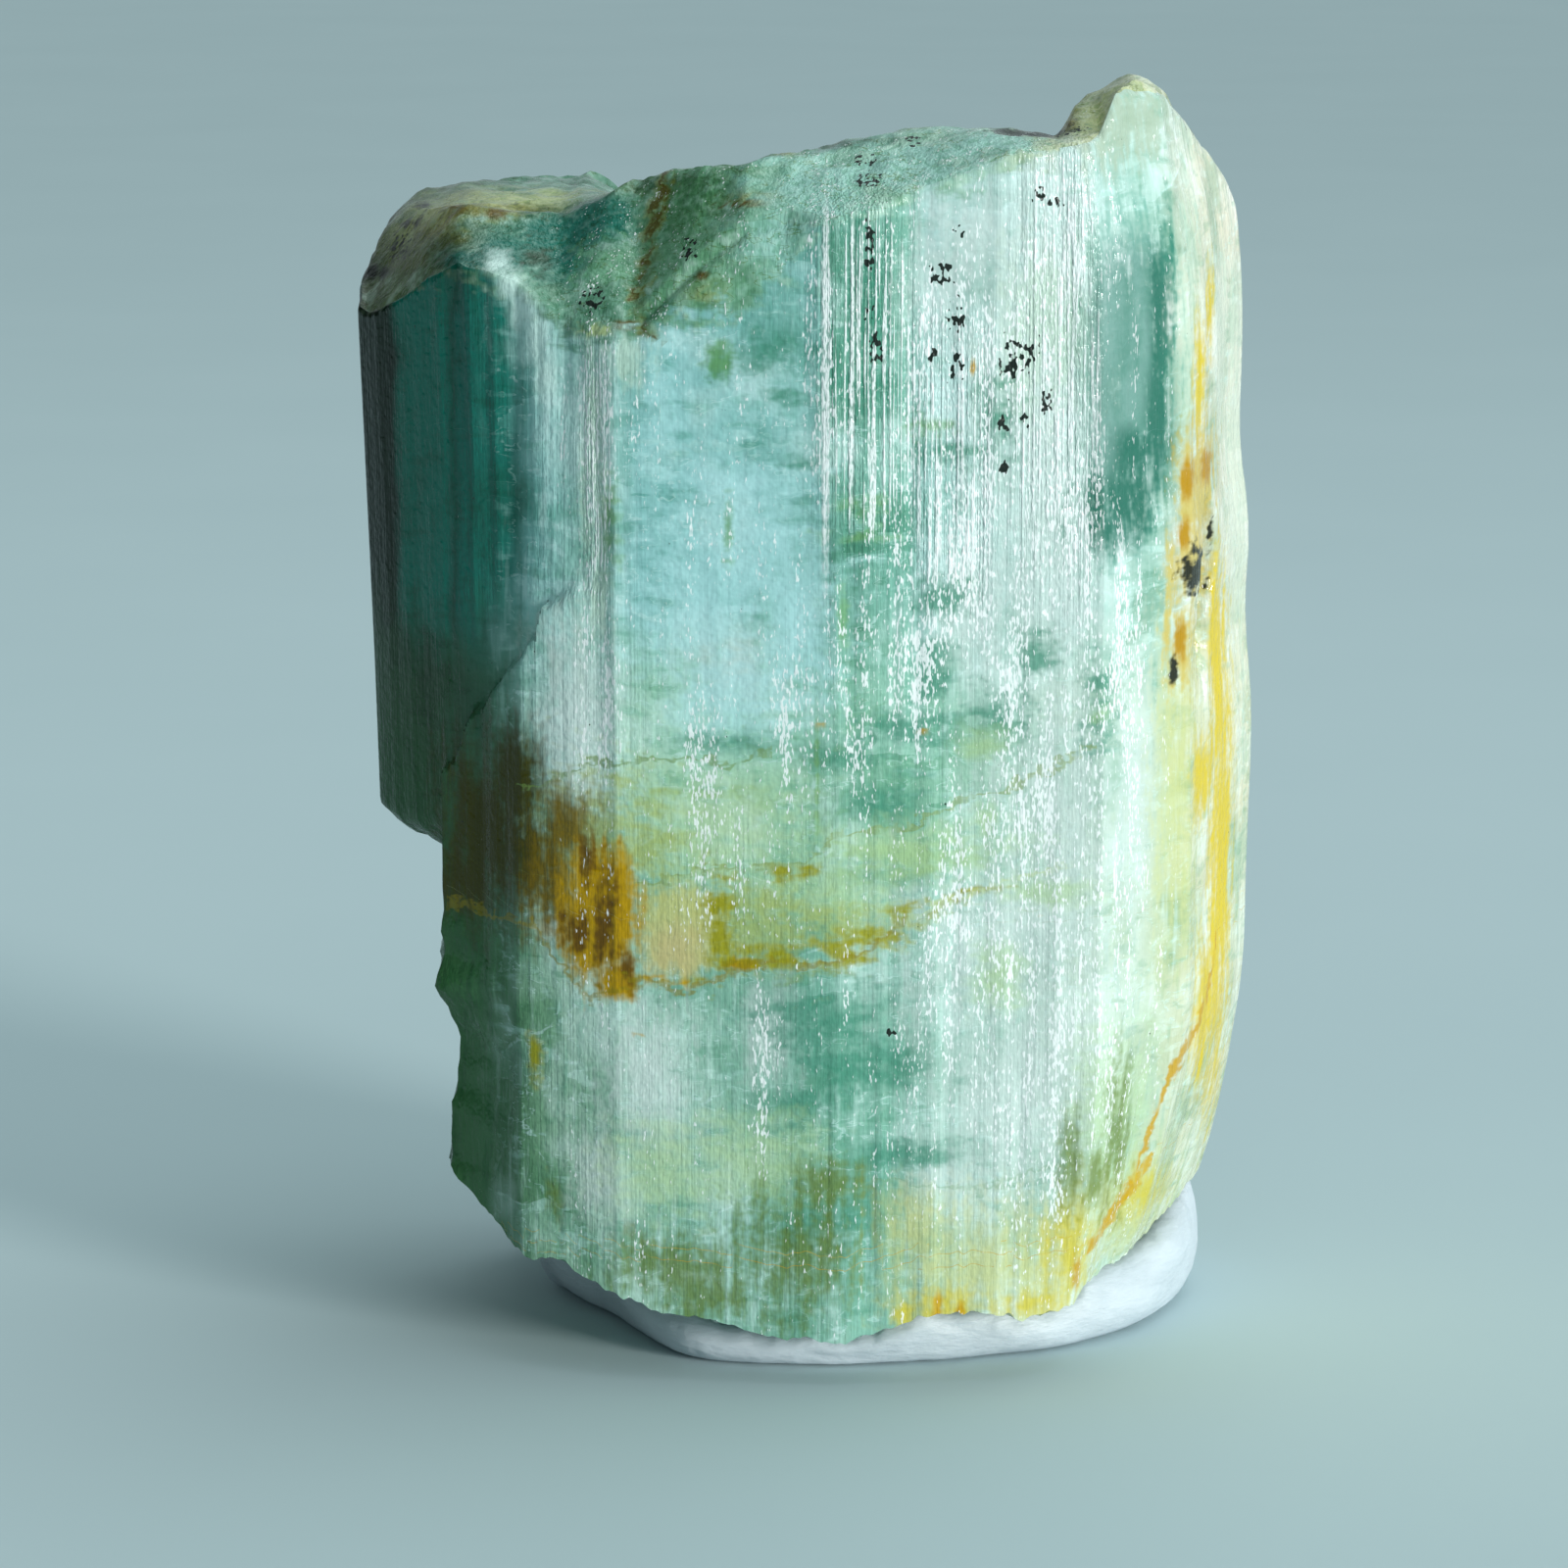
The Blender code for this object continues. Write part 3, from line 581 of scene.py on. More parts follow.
# Healed cracks, as half width, strength, colour, and x and z along each.
CRACKS = {
    "rust line": (0.32, 0.9, (0.52, 0.3, 0.0), [
        (12.8, 5.8), (13.6, 6.4), (14.9, 8.0), (16.0, 11.0), (16.8, 13.4), (18.0, 14.8), (18.9, 17.0),
        (19.2, 19.0),
    ]),
    "rust on the rim": (0.3, 0.85, (0.55, 0.34, 0.0), [(13.6, 6.4), (14.8, 7.6), (16.2, 9.6)]),
    "long crack": (0.13, 0.6, (0.25, 0.2, 0.005), [
        (-16.6, 21.3), (-12.4, 21.2), (-11.4, 19.6), (-9.9, 18.0), (-7.2, 18.9), (-5.4, 18.6),
        (-3.7, 19.4), (-2.1, 19.9), (-0.5, 19.7), (2.1, 20.0), (3.6, 21.2), (4.6, 21.9),
    ]),
    "pale end": (0.12, 0.5, (0.5, 0.6, 0.3), [(4.6, 21.9), (5.6, 22.5), (12.2, 24.4)]),
    "upper crack": (0.1, 0.6, (0.16, 0.26, 0.06), [
        (-13.2, 27.4), (-11.4, 27.9), (-9.6, 28.8), (-6.4, 29.0), (-4.6, 29.2), (-3.4, 28.9), (-1.5, 29.7),
    ]),
    "middle crack": (0.1, 0.55, (0.24, 0.32, 0.08), [
        (-7.8, 23.4), (-3.7, 24.1), (-0.1, 24.6), (1.6, 25.9), (4.2, 26.1), (9.1, 28.0), (13.0, 29.6),
    ]),
    "low crack": (0.09, 0.4, (0.2, 0.36, 0.2), [(1.0, 9.0), (4.0, 9.8), (8.0, 9.2), (12.0, 10.6)]),
    "wisp": (0.12, 0.4, (0.4, 0.66, 0.62), [(-8.0, 43.4), (-4.4, 43.2), (0.0, 43.6), (2.6, 43.6)]),
}
for name, (half_width, strength, tint, line) in CRACKS.items():
    outside = (point_x < line[0][0]) | (point_x > line[-1][0]) | (point_y > FRONT_ENDS)
    above = point_z - curve(line, point_x)
    mark(name, np.where(outside, np.copysign(FAR_AWAY, above), above))
# The brown vein that runs down through the broken top.
VEIN = [
    (47.6, -6.5), (48.2, -6.9), (49.3, -7.6), (50.4, -7.5), (51.3, -7.05), (52.8, -7.0), (53.8, -6.8),
    (55.6, -6.3),
]
past_vein = point_x - curve(VEIN, point_seen)
outside = (point_seen < VEIN[0][0]) | (point_y > FRONT_ENDS)
mark("vein", np.where(outside, np.copysign(FAR_AWAY, past_vein), past_vein))

# Where the broken top begins to the eye: on the worn middle of the front it reaches below the rim.
BREAK_EDGE = [
    (-20.0, 49.4), (-18.4, 49.8), (-15.7, 50.9), (-14.1, 50.3), (-11.0, 48.2), (-7.5, 48.4), (-5.5, 49.2),
    (-3.0, 49.4), (-1.5, 50.6), (0.4, 53.0), (5.0, 54.6), (8.9, 56.0), (11.0, 56.6), (12.0, 62.0),
    (21.0, 62.0),
]
WELL_PAST = 2.0
past_edge = point_z - curve(BREAK_EDGE, point_x)
rim_rank = sum(len(ring[0]) for ring in rings[:-len(top_shares)])
past_edge = np.where(np.arange(len(points)) > rim_rank, WELL_PAST, past_edge)
mark("past the break's edge", past_edge)

# Where the face is crossed by long white lines, where it is full of short ones, where it is smooth,
# and its two brightest lines. The white lines are painted highlights that stand for glints on the
# stripes. The bump of the stripes also follows the lined places.
lined = distance_to([
    (2.7, 46.4, 2.2, 7.4), (11.2, 47.0, 2.0, 9.0), (-9.3, 42.2, 0.5, 5.2), (6.6, 42.6, 2.0, 6.0),
    (12.4, 46.0, 0.6, 9.0),
])
lines_behind = [(8.0, 42.0, 2.6, 9.0), (-6.6, 25.0, 2.0, 9.0), (2.0, 49.0, 1.6, 4.0)]
lined_behind = distance_to(lines_behind, behind=True)
mark("lined", np.minimum(lined, lined_behind))
mark("flecked", distance_to([
    (0.6, 46.4, 0.7, 7.4), (7.6, 44.0, 3.6, 9.0), (10.6, 36.0, 2.4, 9.0), (13.0, 32.6, 2.0, 5.0),
    (-9.3, 42.0, 0.7, 5.6), (9.4, 20.0, 4.4, 10.0), (5.0, 34.4, 1.6, 5.0), (-9.0, 31.4, 1.0, 4.0),
    (1.6, 33.0, 1.4, 4.0), (-4.6, 27.6, 0.7, 5.0), (-0.6, 30.6, 0.8, 3.4), (-2.2, 14.0, 0.4, 4.0),
]))
mark("calm", distance_to([(-3.6, 41.0, 4.4, 8.6), (-3.6, 30.0, 3.6, 4.0), (6.6, 52.0, 1.8, 2.4)]))
mark("brightest painted glint", distance_to([(0.82, 46.0, 0.16, 7.4), (2.0, 46.6, 0.07, 6.6)]))
# Where black grains lie in small crowds.
mark("crowds", distance_to([
    (-9.5, 49.9, 0.5, 0.5), (-5.2, 52.1, 0.4, 0.5), (2.6, 56.4, 0.5, 0.3), (2.8, 55.3, 0.6, 0.35),
    (2.7, 52.1, 0.2, 1.2), (2.7, 49.1, 0.2, 0.5), (3.0, 47.7, 0.3, 0.8), (4.7, 57.2, 0.3, 0.3),
    (6.7, 52.8, 0.3, 0.3), (5.9, 51.0, 0.5, 0.5), (6.5, 49.4, 0.35, 0.8), (6.5, 46.8, 0.3, 0.6),
    (5.6, 47.3, 0.25, 0.3), (10.2, 54.5, 0.3, 0.35), (10.9, 54.0, 0.35, 0.3), (9.3, 47.3, 0.8, 0.7),
    (8.8, 46.9, 0.5, 0.4), (10.6, 45.2, 0.25, 0.5), (8.7, 44.3, 0.3, 0.3), (9.6, 44.3, 0.25, 0.4),
    (8.7, 42.3, 0.2, 0.4), (3.8, 16.8, 0.3, 0.3), (-18.6, 51.6, 0.6, 0.7), (18.2, 57.4, 0.9, 0.4),
    (11.0, 57.6, 1.2, 0.35),
]))
# Three marks share an attribute of the mesh, which makes them quicker to read.
mark_names = list(marks)
for first in range(0, len(marks), MARKS_TOGETHER):
    together = np.zeros((len(points), MARKS_TOGETHER), "f")
    for column, name in enumerate(mark_names[first:first + MARKS_TOGETHER]):
        together[:, column] = marks[name]
    kept = crystal.data.attributes.new(f"marks {first // MARKS_TOGETHER}", "FLOAT_VECTOR", "POINT")
    kept.data.foreach_set("vector", together.ravel())


def start_material(name):
    """A new material with its node tree, and that tree's main shader."""
    made = bpy.data.materials.new(name)
    made.use_nodes = True
    return made, made.node_tree, made.node_tree.nodes["Principled BSDF"]


def add(tree, kind, inputs, output=0, **settings):
    """Adds a node with its settings, and sets or links its inputs. Gives one of its outputs."""
    made = tree.nodes.new(kind)
    for key, value in settings.items():
        setattr(made, key, value)
    for socket, value in inputs.items():
        if isinstance(value, bpy.types.NodeSocket):
            tree.links.new(value, made.inputs[socket])
        else:
            made.inputs[socket].default_value = value
    return made.outputs[output]


def calc(tree, operation, first, second=0.0):
    """One sum on two numbers."""
    return add(tree, "ShaderNodeMath", {0: first, 1: second}, operation=operation)


def times(tree, first, second):
    """Two numbers multiplied."""
    return calc(tree, "MULTIPLY", first, second)


def plus_share(tree, base, value, share):
    """One number and a share of another added up."""
    return add(tree, "ShaderNodeMath", {0: value, 1: share, 2: base}, operation="MULTIPLY_ADD")


def fade(tree, value, low, high, bottom=0.0, top=1.0, how="SMOOTHSTEP"):
    """Goes from bottom where value is low to top where it is high."""
    inputs = {0: value, 1: low, 2: high, 3: bottom, 4: top}
    return add(tree, "ShaderNodeMapRange", inputs, interpolation_type=how)


def blend(tree, factor, under, over, how="MIX"):
    """Lays one colour over another: inputs 6 and 7 of a mix in colour, which gives output 2."""
    colours = [c if isinstance(c, bpy.types.NodeSocket) else (*c, 1.0) for c in (under, over)]
    inputs = {0: factor, 6: colours[0], 7: colours[1]}
    return add(tree, "ShaderNodeMix", inputs, output=2, data_type="RGBA", blend_type=how)


def grain(tree, place, scale, detail=2.0, seed=0.0):
    """Noise from about 0.2 to 0.8 whose cells are 1/scale millimetres along x, y and z."""
    inputs = {0: place, 1: scale, 2: (7.3 * seed, 3.1 * seed, 5.7 * seed)}
    moved = add(tree, "ShaderNodeVectorMath", inputs, operation="MULTIPLY_ADD")
    return add(tree, "ShaderNodeTexNoise", {"Vector": moved, "Scale": 1.0, "Detail": detail})


def place_on_piece(tree):
    """The place on a piece, in the millimetres of the plans."""
    in_metres = add(tree, "ShaderNodeTexCoord", {}, output="Object")
    inputs = {0: in_metres, 1: (1.0 / METRES,) * 3, 2: BOX_CENTRE}
    return add(tree, "ShaderNodeVectorMath", inputs, operation="MULTIPLY_ADD")


material, tree, shader = start_material("cloudy beryl")

place = place_on_piece(tree)
x, y, z = add(tree, "ShaderNodeSeparateXYZ", {0: place}).node.outputs

# Grain of several kinds: broad clouds, upright fibres, level wisps, flecks, and thin upright lines
# that are long or short and lie in clusters.
clouds = grain(tree, place, (0.3, 0.3, 0.24), 2.0, 3.0)
fibres = grain(tree, place, (1.9, 1.9, 0.3), 3.0, 5.0)
wisps = grain(tree, place, (0.6, 0.6, 1.7), 3.0, 15.0)
flecks = grain(tree, place, (2.6, 2.6, 2.6), 1.0, 9.0)
lines = grain(tree, place, (7.5, 7.5, 0.09), 1.0, 17.0)
dashes = grain(tree, place, (10.0, 10.0, 2.8), 1.0, 19.0)
clusters = grain(tree, place, (1.4, 1.4, 0.16), 1.0, 23.0)
wander = plus_share(tree, plus_share(tree, -3.7, clouds, 5.0), fibres, 2.4)
rough_half = plus_share(tree, -0.75, flecks, 0.5)
tears = {"upright": calc(tree, "ADD", fibres, rough_half), "level": calc(tree, "ADD", wisps, rough_half)}

# The body colour across the front at three heights, as x and colour. The pale grey band near
# x -11 is partly painted sheen.
ZONES_UPPER = [
    (-20.5, (0.003, 0.018, 0.006)), (-18.9, (0.003, 0.022, 0.008)), (-18.4, (0.0, 0.2, 0.14)),
    (-16.2, (0.0, 0.23, 0.165)), (-15.9, (0.0, 0.11, 0.07)), (-15.6, (0.002, 0.18, 0.135)),
    (-13.4, (0.012, 0.18, 0.14)), (-12.4, (0.18, 0.46, 0.42)), (-11.4, (0.36, 0.66, 0.62)),
    (-9.6, (0.4, 0.65, 0.58)), (-8.4, (0.3, 0.56, 0.52)), (-7.4, (0.2, 0.47, 0.45)),
    (-5.2, (0.22, 0.49, 0.47)), (-4.0, (0.25, 0.53, 0.51)), (-1.0, (0.25, 0.51, 0.48)),
    (0.3, (0.24, 0.5, 0.46)), (1.0, (0.12, 0.33, 0.24)), (4.4, (0.17, 0.41, 0.32)),
    (5.4, (0.36, 0.58, 0.55)), (8.4, (0.42, 0.6, 0.56)), (12.2, (0.44, 0.6, 0.55)),
    (13.0, (0.36, 0.55, 0.49)), (15.8, (0.36, 0.54, 0.46)), (16.6, (0.5, 0.53, 0.43)),
    (17.6, (0.6, 0.59, 0.44)), (20.5, (0.7, 0.66, 0.54)),
]
ZONES_MIDDLE = [
    (-17.0, (0.02, 0.09, 0.03)), (-14.0, (0.06, 0.2, 0.12)), (-12.3, (0.24, 0.46, 0.38)),
    (-10.5, (0.42, 0.64, 0.58)), (-7.0, (0.36, 0.6, 0.45)), (-2.0, (0.32, 0.57, 0.39)),
    (1.0, (0.24, 0.48, 0.34)), (6.0, (0.24, 0.48, 0.35)), (9.0, (0.38, 0.57, 0.46)),
    (16.0, (0.48, 0.58, 0.46)), (18.0, (0.6, 0.6, 0.4)), (20.5, (0.66, 0.64, 0.44)),
]
ZONES_LOWER = [
    (-17.0, (0.04, 0.13, 0.045)), (-13.5, (0.06, 0.18, 0.08)), (-11.8, (0.18, 0.36, 0.22)),
    (-8.0, (0.33, 0.54, 0.44)), (-4.0, (0.3, 0.52, 0.42)), (0.0, (0.19, 0.42, 0.32)),
    (4.0, (0.2, 0.44, 0.34)), (7.0, (0.38, 0.57, 0.5)), (11.0, (0.46, 0.61, 0.52)),
    (16.0, (0.46, 0.55, 0.38)), (18.0, (0.58, 0.61, 0.42)), (20.5, (0.62, 0.64, 0.46)),
]
ZONES_BREAK = [
    (-20.5, (0.04, 0.06, 0.012)), (-18.6, (0.14, 0.22, 0.09)), (-14.0, (0.1, 0.26, 0.17)),
    (-9.0, (0.13, 0.3, 0.21)), (-5.6, (0.13, 0.32, 0.18)), (-1.0, (0.24, 0.48, 0.36)),
    (8.0, (0.36, 0.56, 0.44)), (11.0, (0.44, 0.5, 0.32)), (16.5, (0.5, 0.52, 0.34)),
    (18.6, (0.26, 0.24, 0.08)), (20.5, (0.4, 0.4, 0.2)),
]


RAMP_END = 21.0


def zone_ramp(tree, at, stops):
    """A colour ramp over x in millimetres."""
    made = tree.nodes.new("ShaderNodeValToRGB")
    elements = made.color_ramp.elements
    while len(elements) < len(stops):
        elements.new(0.5)
    for element, (where, colour) in zip(elements, stops):
        element.position = (where + RAMP_END) / (2.0 * RAMP_END)
        element.color = (*colour, 1.0)
    tree.links.new(fade(tree, at, -RAMP_END, RAMP_END, how="LINEAR"), made.inputs[0])
    return made.outputs[0]


def read(tree, name):
    """A number kept on the points of the crystal."""
    group, column = divmod(mark_names.index(name), MARKS_TOGETHER)
    together = add(tree, "ShaderNodeAttribute", {}, output="Vector", attribute_name=f"marks {group}")
    return add(tree, "ShaderNodeSeparateXYZ", {0: together}, output=column)


def read_torn(tree, name, way, torn):
    """A distance kept on the points of the piece, torn by one kind of grain."""
    return plus_share(tree, read(tree, name), tears[way], torn)


def lay_spots(tree, colour, groups):
    """Lays the spots of each group over a colour, with torn edges."""
    for name, (way, torn, soft, strength, tint, spots) in groups.items():
        distance = read_torn(tree, name, way, torn)
        inside = fade(tree, distance, 1.0 + soft, 1.0 - soft, 0.0, strength)
        colour = blend(tree, inside, colour, tint)
    return colour


across = plus_share(tree, x, wander, 0.22)
height = plus_share(tree, z, wander, 1.1)
colour = zone_ramp(tree, across, ZONES_LOWER)
colour = blend(tree, fade(tree, height, 18.0, 26.0), colour, zone_ramp(tree, across, ZONES_MIDDLE))
colour = blend(tree, fade(tree, height, 31.0, 37.0), colour, zone_ramp(tree, across, ZONES_UPPER))
# The slim crystal is teal all over its left side.
left_side = times(tree, fade(tree, x, -18.2, -19.2), fade(tree, y, -3.4, -1.0, 0.0, 0.9))
colour = blend(tree, left_side, colour, (0.003, 0.15, 0.11))

# Inner cracks part the body into cells of slightly different tone with pale borders.
bent = add(tree, "ShaderNodeVectorMath", {0: place, 1: (0.3, 0.3, 0.42)}, operation="MULTIPLY")
shift = times(tree, wisps, 1.6)
bent = add(tree, "ShaderNodeVectorMath", {0: bent, 1: shift}, operation="ADD")
inputs = {"Vector": bent, "Scale": 1.0}
cells = add(tree, "ShaderNodeTexVoronoi", inputs, output="Color")
tones = add(tree, "ShaderNodeSeparateColor", {0: cells}).node.outputs
borders = add(tree, "ShaderNodeTexVoronoi", inputs, output="Distance", feature="DISTANCE_TO_EDGE")
main = fade(tree, across, -15.0, -12.5)
dark_cells = fade(tree, tones[0], 0.5, 1.0, 0.0, 0.5, "LINEAR")
colour = blend(tree, dark_cells, colour, (0.6, 0.78, 0.72), "MULTIPLY")
pale_cells = times(tree, fade(tree, tones[1], 0.5, 1.0, 0.0, 0.22, "LINEAR"), main)
colour = blend(tree, pale_cells, colour, (0.4, 0.7, 0.68), "SCREEN")
seam = fade(tree, borders, 0.035, 0.01)
seam = times(tree, seam, fade(tree, flecks, 0.45, 0.6))
seam = times(tree, times(tree, seam, main), 0.4)
colour = blend(tree, seam, colour, (0.6, 0.82, 0.8))

# Soft clouds, level veils and upright streaks.
pale_clouds = times(tree, fade(tree, clouds, 0.5, 0.7, 0.0, 0.4), main)
colour = blend(tree, pale_clouds, colour, (0.56, 0.74, 0.72), "SCREEN")
colour = blend(tree, fade(tree, clouds, 0.5, 0.32, 0.0, 0.55), colour, (0.4, 0.64, 0.54), "MULTIPLY")
colour = blend(tree, fade(tree, wisps, 0.53, 0.7, 0.0, 0.5), colour, (0.42, 0.66, 0.56), "MULTIPLY")
pale_wisps = times(tree, fade(tree, wisps, 0.45, 0.3, 0.0, 0.4), main)
colour = blend(tree, pale_wisps, colour, (0.4, 0.66, 0.62), "SCREEN")
stir = fade(tree, read(tree, "calm"), 0.7, 1.3, 0.3, 1.0)
bright_fibres = fade(tree, fibres, 0.54, 0.72, 0.0, 0.35)
bright_fibres = times(tree, bright_fibres, times(tree, main, stir))
colour = blend(tree, bright_fibres, colour, (0.5, 0.7, 0.66), "SCREEN")
dark_fibres = times(tree, fade(tree, fibres, 0.46, 0.3, 0.0, 0.5), stir)
colour = blend(tree, dark_fibres, colour, (0.4, 0.68, 0.6), "MULTIPLY")

colour = lay_spots(tree, colour, SPOTS | BACK_SPOTS)

# The broken top, mottled and fissured, with a brown vein.
mottle = grain(tree, place, (0.9, 0.9, 0.9), 2.0, 25.0)
top_colour = zone_ramp(tree, across, ZONES_BREAK)
top_colour = blend(tree, fade(tree, mottle, 0.5, 0.68, 0.0, 0.45), top_colour, (0.42, 0.6, 0.5), "SCREEN")
top_colour = blend(tree, fade(tree, mottle, 0.5, 0.34, 0.0, 0.5), top_colour, (0.34, 0.5, 0.36), "MULTIPLY")
top_colour = lay_spots(tree, top_colour, TOP_SPOTS)
top_colour = blend(tree, fade(tree, flecks, 0.5, 0.7, 0.0, 0.12), top_colour, (0.5, 0.66, 0.56), "SCREEN")
top_colour = blend(tree, fade(tree, flecks, 0.5, 0.34, 0.0, 0.5), top_colour, (0.4, 0.6, 0.45), "MULTIPLY")
fissures = calc(tree, "ABSOLUTE", calc(tree, "SUBTRACT", wisps, 0.5))
fissures = fade(tree, fissures, 0.012, 0.003, 0.0, 0.6)
top_colour = blend(tree, fissures, top_colour, (0.4, 0.42, 0.16), "MULTIPLY")
past = read_torn(tree, "past the break's edge", "level", 4.0)
colour = blend(tree, fade(tree, past, -0.9, 0.6), colour, top_colour)
vein = calc(tree, "ABSOLUTE", read_torn(tree, "vein", "level", 1.6))
patchy = fade(tree, mottle, 0.4, 0.56, 0.25, 1.0)
vein_edge = times(tree, fade(tree, vein, 0.6, 0.1, 0.0, 0.6), patchy)
colour = blend(tree, vein_edge, colour, (0.22, 0.22, 0.03))
vein_middle = times(tree, fade(tree, vein, 0.2, 0.03, 0.0, 0.85), patchy)
colour = blend(tree, vein_middle, colour, (0.075, 0.056, 0.003))
colour = lay_spots(tree, colour, CORNER_SPOTS)

for name, (half_width, strength, tint, line) in CRACKS.items():
    off_line = calc(tree, "ABSOLUTE", read_torn(tree, name, "level", 1.6))
    inside = fade(tree, off_line, half_width * 1.8, half_width * 0.4, 0.0, strength)
    inside = times(tree, inside, fade(tree, fibres, 0.34, 0.5, 0.25, 1.0))
    colour = blend(tree, inside, colour, tint)

# Thin white lines, long ones and short ones: painted highlights that stand for glints on the stripes.
long_glint_lines = calc(tree, "ADD", lines, fade(tree, read(tree, "lined"), 1.3, 0.75, -0.25, 0.04))
long_glint_lines = fade(tree, long_glint_lines, 0.57, 0.63)
long_glint_lines = times(tree, long_glint_lines, fade(tree, dashes, 0.36, 0.52, 0.35, 1.0))
sparse = times(tree, fade(tree, across, -12.5, -10.5), fade(tree, across, 17.5, 16.0, 0.0, 0.17))
sparse = calc(tree, "SUBTRACT", sparse, 0.3)
crowding = fade(tree, read(tree, "flecked"), 1.8, 0.5, sparse, 0.03)
crowding = plus_share(tree, crowding, clusters, 0.6)
short_glint_lines = fade(tree, calc(tree, "ADD", dashes, crowding), 0.87, 0.98)
line = fade(tree, calc(tree, "ADD", read(tree, "brightest painted glint"), tears["level"]), 1.4, 0.7)
line = times(tree, line, fade(tree, dashes, 0.36, 0.5, 0.3, 1.0))
white = calc(tree, "MAXIMUM", calc(tree, "MAXIMUM", long_glint_lines, short_glint_lines), line)
colour = blend(tree, times(tree, white, 0.85), colour, (0.88, 0.93, 0.93))

grains = grain(tree, place, (4.4, 4.4, 3.0), 1.0, 21.0)
specks = calc(tree, "SUBTRACT", grains, fade(tree, read(tree, "crowds"), 0.6, 1.9, 0.0, 0.3))
colour = blend(tree, fade(tree, specks, 0.5, 0.55), colour, (0.012, 0.02, 0.016))

tree.links.new(colour, shader.inputs["Base Color"])

# The slim crystal and the clear window let light through, the cloudy parts don't.
clear = times(tree, fade(tree, across, -13.4, -15.0), fade(tree, z, 26.0, 32.0))
clear = calc(tree, "MAXIMUM", clear, fade(tree, read(tree, "window"), 1.3, 0.7))
see_through = times(tree, clear, 0.3)
tree.links.new(see_through, shader.inputs["Transmission Weight"])
shader.inputs["IOR"].default_value = 1.577
shader.inputs["Specular IOR Level"].default_value = 0.22
absorbed = {"Color": (0.0, 0.72, 0.55, 1.0), "Density": 350.0}
volume = add(tree, "ShaderNodeVolumeAbsorption", absorbed)
tree.links.new(volume, tree.nodes["Material Output"].inputs["Volume"])

roughness = fade(tree, flecks, 0.35, 0.65, 0.1, 0.26)
tree.links.new(roughness, shader.inputs["Roughness"])

# Fine stripes and etched flecks.
ground = plus_share(tree, times(tree, lines, 0.8), dashes, 0.5)
striped = times(tree, fade(tree, read(tree, "lined"), 1.5, 0.6, 0.35, 1.3), stir)
ground = plus_share(tree, times(tree, ground, striped), flecks, 0.5)
bump = add(tree, "ShaderNodeBump", {"Height": ground, "Strength": 0.8, "Distance": 0.00014})
tree.links.new(bump, shader.inputs["Normal"])

crystal.data.materials.append(material)
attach(crystal, "root")
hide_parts("aquamarine_crystal")


# The putty. White mounting putty, rolled soft between the fingers and pressed to the broken foot of
# the crystal, flat where it was pushed down.

PUTTY_CENTRE = (3.0, 0.5)
PUTTY_OUTLINE = [
    (-180, 15.4), (-160, 13.2), (-145, 13.3), (-128, 14.2), (-115, 13.1), (-105, 12.4), (-90, 11.8),
    (-60, 12.2), (-30, 14.2), (0, 15.8), (25, 16.2), (50, 14.6), (75, 13.0), (90, 12.6), (120, 13.6),
    (150, 15.2), (180, 15.8),
]
PUTTY_SECTION = [
    (0.5, 0.0), (0.84, 0.0), (0.9, 0.01), (0.945, 0.05), (0.975, 0.12), (0.995, 0.24), (1.005, 0.38),
    (1.01, 0.5), (1.008, 0.62), (0.998, 0.74), (0.98, 0.85), (0.955, 0.93), (0.92, 0.98), (0.88, 1.0),
    (0.82, 1.0), (0.75, 1.0), (0.66, 1.0), (0.56, 1.0), (0.44, 1.0), (0.3, 1.0), (0.14, 1.0),
]
PUTTY_HEIGHT = 8.4
PUTTY_GAP = 0.12
PUTTY_COLUMNS = 360
PUTTY_SHARP_DEGREES = 60.0

degrees = np.linspace(-180.0, 180.0, PUTTY_COLUMNS, endpoint=False)
outline = eased(PUTTY_OUTLINE, degrees, 4.0)
# It keeps clear of the crystal's foot above it, and of what hangs down just beside.
beside = (-0.3, 0.0, 0.3)
near = [(dx, dy) for dx in beside for dy in beside]
rings = []
for outward, upward in PUTTY_SECTION:
    dents = 0.25 * relief(degrees / 14.0, degrees * 0.0 + upward * 3.0, 71) * step(0.02, 0.3, upward)
    reached = outline * outward + dents
    px = PUTTY_CENTRE[0] + reached * np.cos(np.radians(degrees))
    py = PUTTY_CENTRE[1] + reached * np.sin(np.radians(degrees))
    ceiling = np.min([foot_height(px + dx, py + dy) for dx, dy in near], axis=0) - PUTTY_GAP
    rings.append((px, py, upward * np.minimum(PUTTY_HEIGHT, ceiling)))
putty, points = closed_piece("putty", rings, PUTTY_SHARP_DEGREES)

material, tree, shader = start_material("white putty")
place = place_on_piece(tree)
smears = grain(tree, place, (0.5, 0.5, 0.9), 3.0, 11.0)
colour = blend(tree, fade(tree, smears, 0.35, 0.7), (0.55, 0.62, 0.67), (0.5, 0.57, 0.62))
tree.links.new(colour, shader.inputs["Base Color"])
shader.inputs["Roughness"].default_value = 0.5
shader.inputs["Subsurface Weight"].default_value = 0.2
shader.inputs["Subsurface Radius"].default_value = (1.0, 1.0, 1.0)
shader.inputs["Subsurface Scale"].default_value = 0.001
fingerprints = grain(tree, place, (1.2, 1.2, 3.5), 3.0, 13.0)
bump = add(tree, "ShaderNodeBump", {"Height": fingerprints, "Strength": 0.5, "Distance": 0.0002})
tree.links.new(bump, shader.inputs["Normal"])
putty.data.materials.append(material)
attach(putty, "root")
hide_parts("mounting_putty")


# The floor. A plain pale sheet, dull as paper, lying flat under the putty. It runs far back, so that
# it fills the picture behind the crystal.

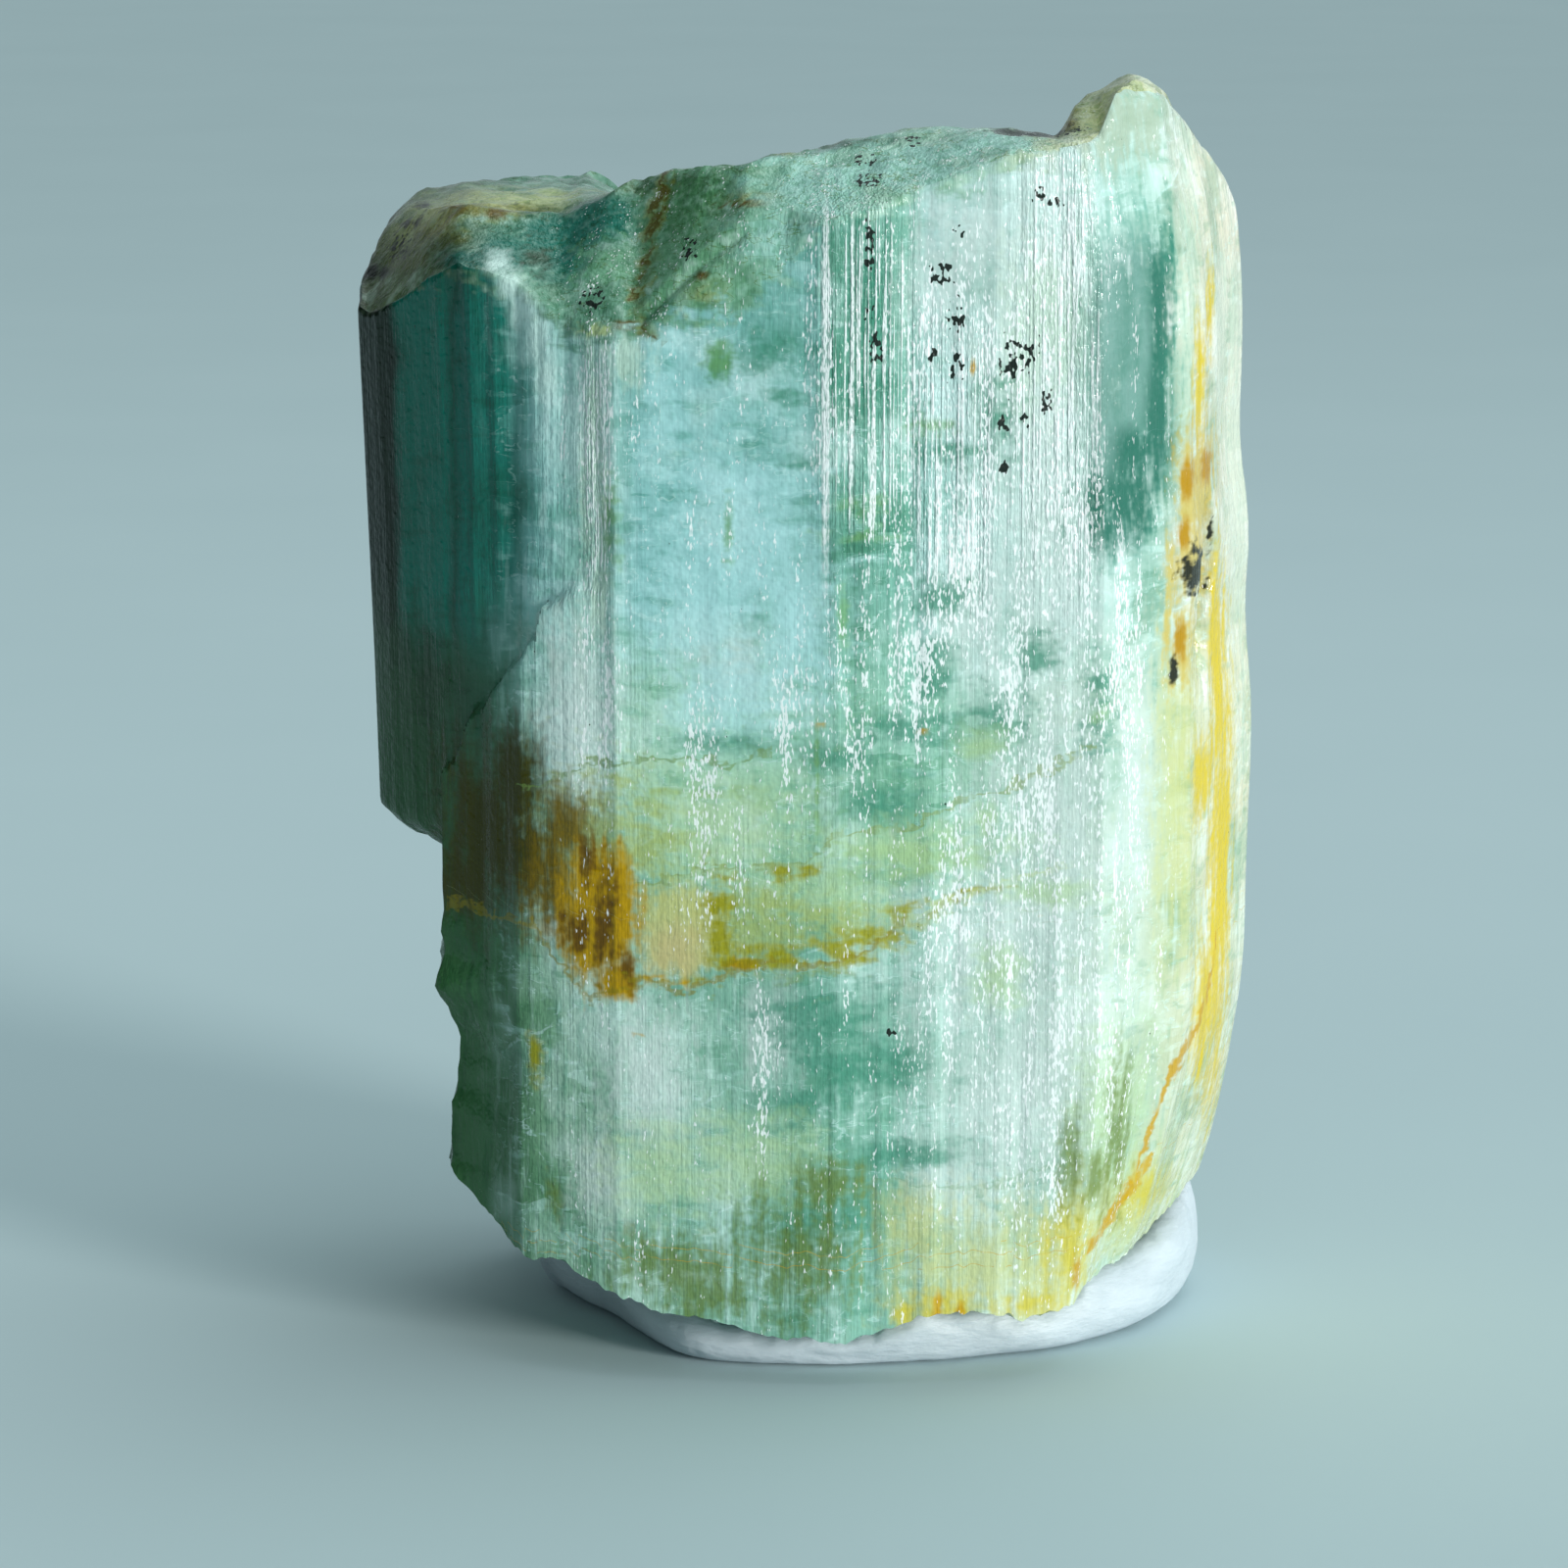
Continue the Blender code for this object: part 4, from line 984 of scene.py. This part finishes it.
data = bpy.data.meshes.new("floor")
side, near, far = 4.0, -2.0, 6.0
corners = [(-side, near, 0), (side, near, 0), (side, far, 0), (-side, far, 0)]
data.from_pydata(corners, [], [(0, 1, 2, 3)])
floor = put_in_scene("floor", data)
material, tree, shader = start_material("pale floor")
coordinates = add(tree, "ShaderNodeTexCoord", {}, output="Object")
mottle = add(tree, "ShaderNodeTexNoise", {"Vector": coordinates, "Scale": 30.0, "Detail": 3.0})
colour = blend(tree, mottle, (0.51, 0.635, 0.655), (0.54, 0.665, 0.685))
tree.links.new(colour, shader.inputs["Base Color"])
shader.inputs["Roughness"].default_value = 0.8
shader.inputs["Specular IOR Level"].default_value = 0.0
data.materials.append(material)


# The light. A low soft key from the right that rakes over the front, a weak lamp above, and a pale
# room that is dim on the left.

sun = bpy.data.lights.new("key", "SUN")
sun.energy = 3.0
sun.angle = np.radians(14.0)
sun.color = (1.0, 1.0, 0.97)
towards_sun = Vector((0.77, -0.64, 0.17))
key = put_in_scene("key", sun)
key.rotation_euler = (-towards_sun).to_track_quat("-Z", "Y").to_euler()
panel = bpy.data.lights.new("top", "AREA")
panel.shape = "SQUARE"
panel.size = 260.0 * METRES
panel.energy = 0.35
panel.color = (0.9, 0.97, 1.0)
above, lit = Vector((60.0, 60.0, 380.0)), Vector((0.0, 0.0, 30.0))
top_lamp = put_in_scene("top", panel)
top_lamp.location = above * METRES
top_lamp.rotation_euler = (lit - above).to_track_quat("-Z", "Y").to_euler()
world = bpy.data.worlds.new("pale room")
world.use_nodes = True
room = world.node_tree
direction = add(room, "ShaderNodeTexCoord", {}, output="Generated")
rightward = add(room, "ShaderNodeSeparateXYZ", {0: direction})
walls = room.nodes["Background"]
room.links.new(fade(room, rightward, -1.0, 0.5, 0.05, 0.7), walls.inputs["Strength"])
walls.inputs["Color"].default_value = (0.8, 0.96, 1.0, 1.0)
bpy.context.scene.world = world
bpy.context.scene.view_settings.view_transform = "Standard"


# The camera. It looks slightly down on the front of the crystal with a long lens, from far enough to
# show it nearly flat.

ELEVATION = np.radians(12.0)
CAMERA_DISTANCE = 260.0
CAMERA_TARGET = np.array([-1.02, 0.0, 25.2])
camera_data = bpy.data.cameras.new("camera")
camera_data.sensor_width = 36.0
camera_data.lens = 126.36
camera_data.clip_start = 0.01
camera = put_in_scene("camera", camera_data)
backward = np.array([0.0, -np.cos(ELEVATION), np.sin(ELEVATION)])
camera.location = (CAMERA_TARGET + backward * CAMERA_DISTANCE - BOX_CENTRE) * METRES
camera.rotation_euler = (np.pi / 2 - ELEVATION, 0.0, 0.0)
bpy.context.scene.camera = camera
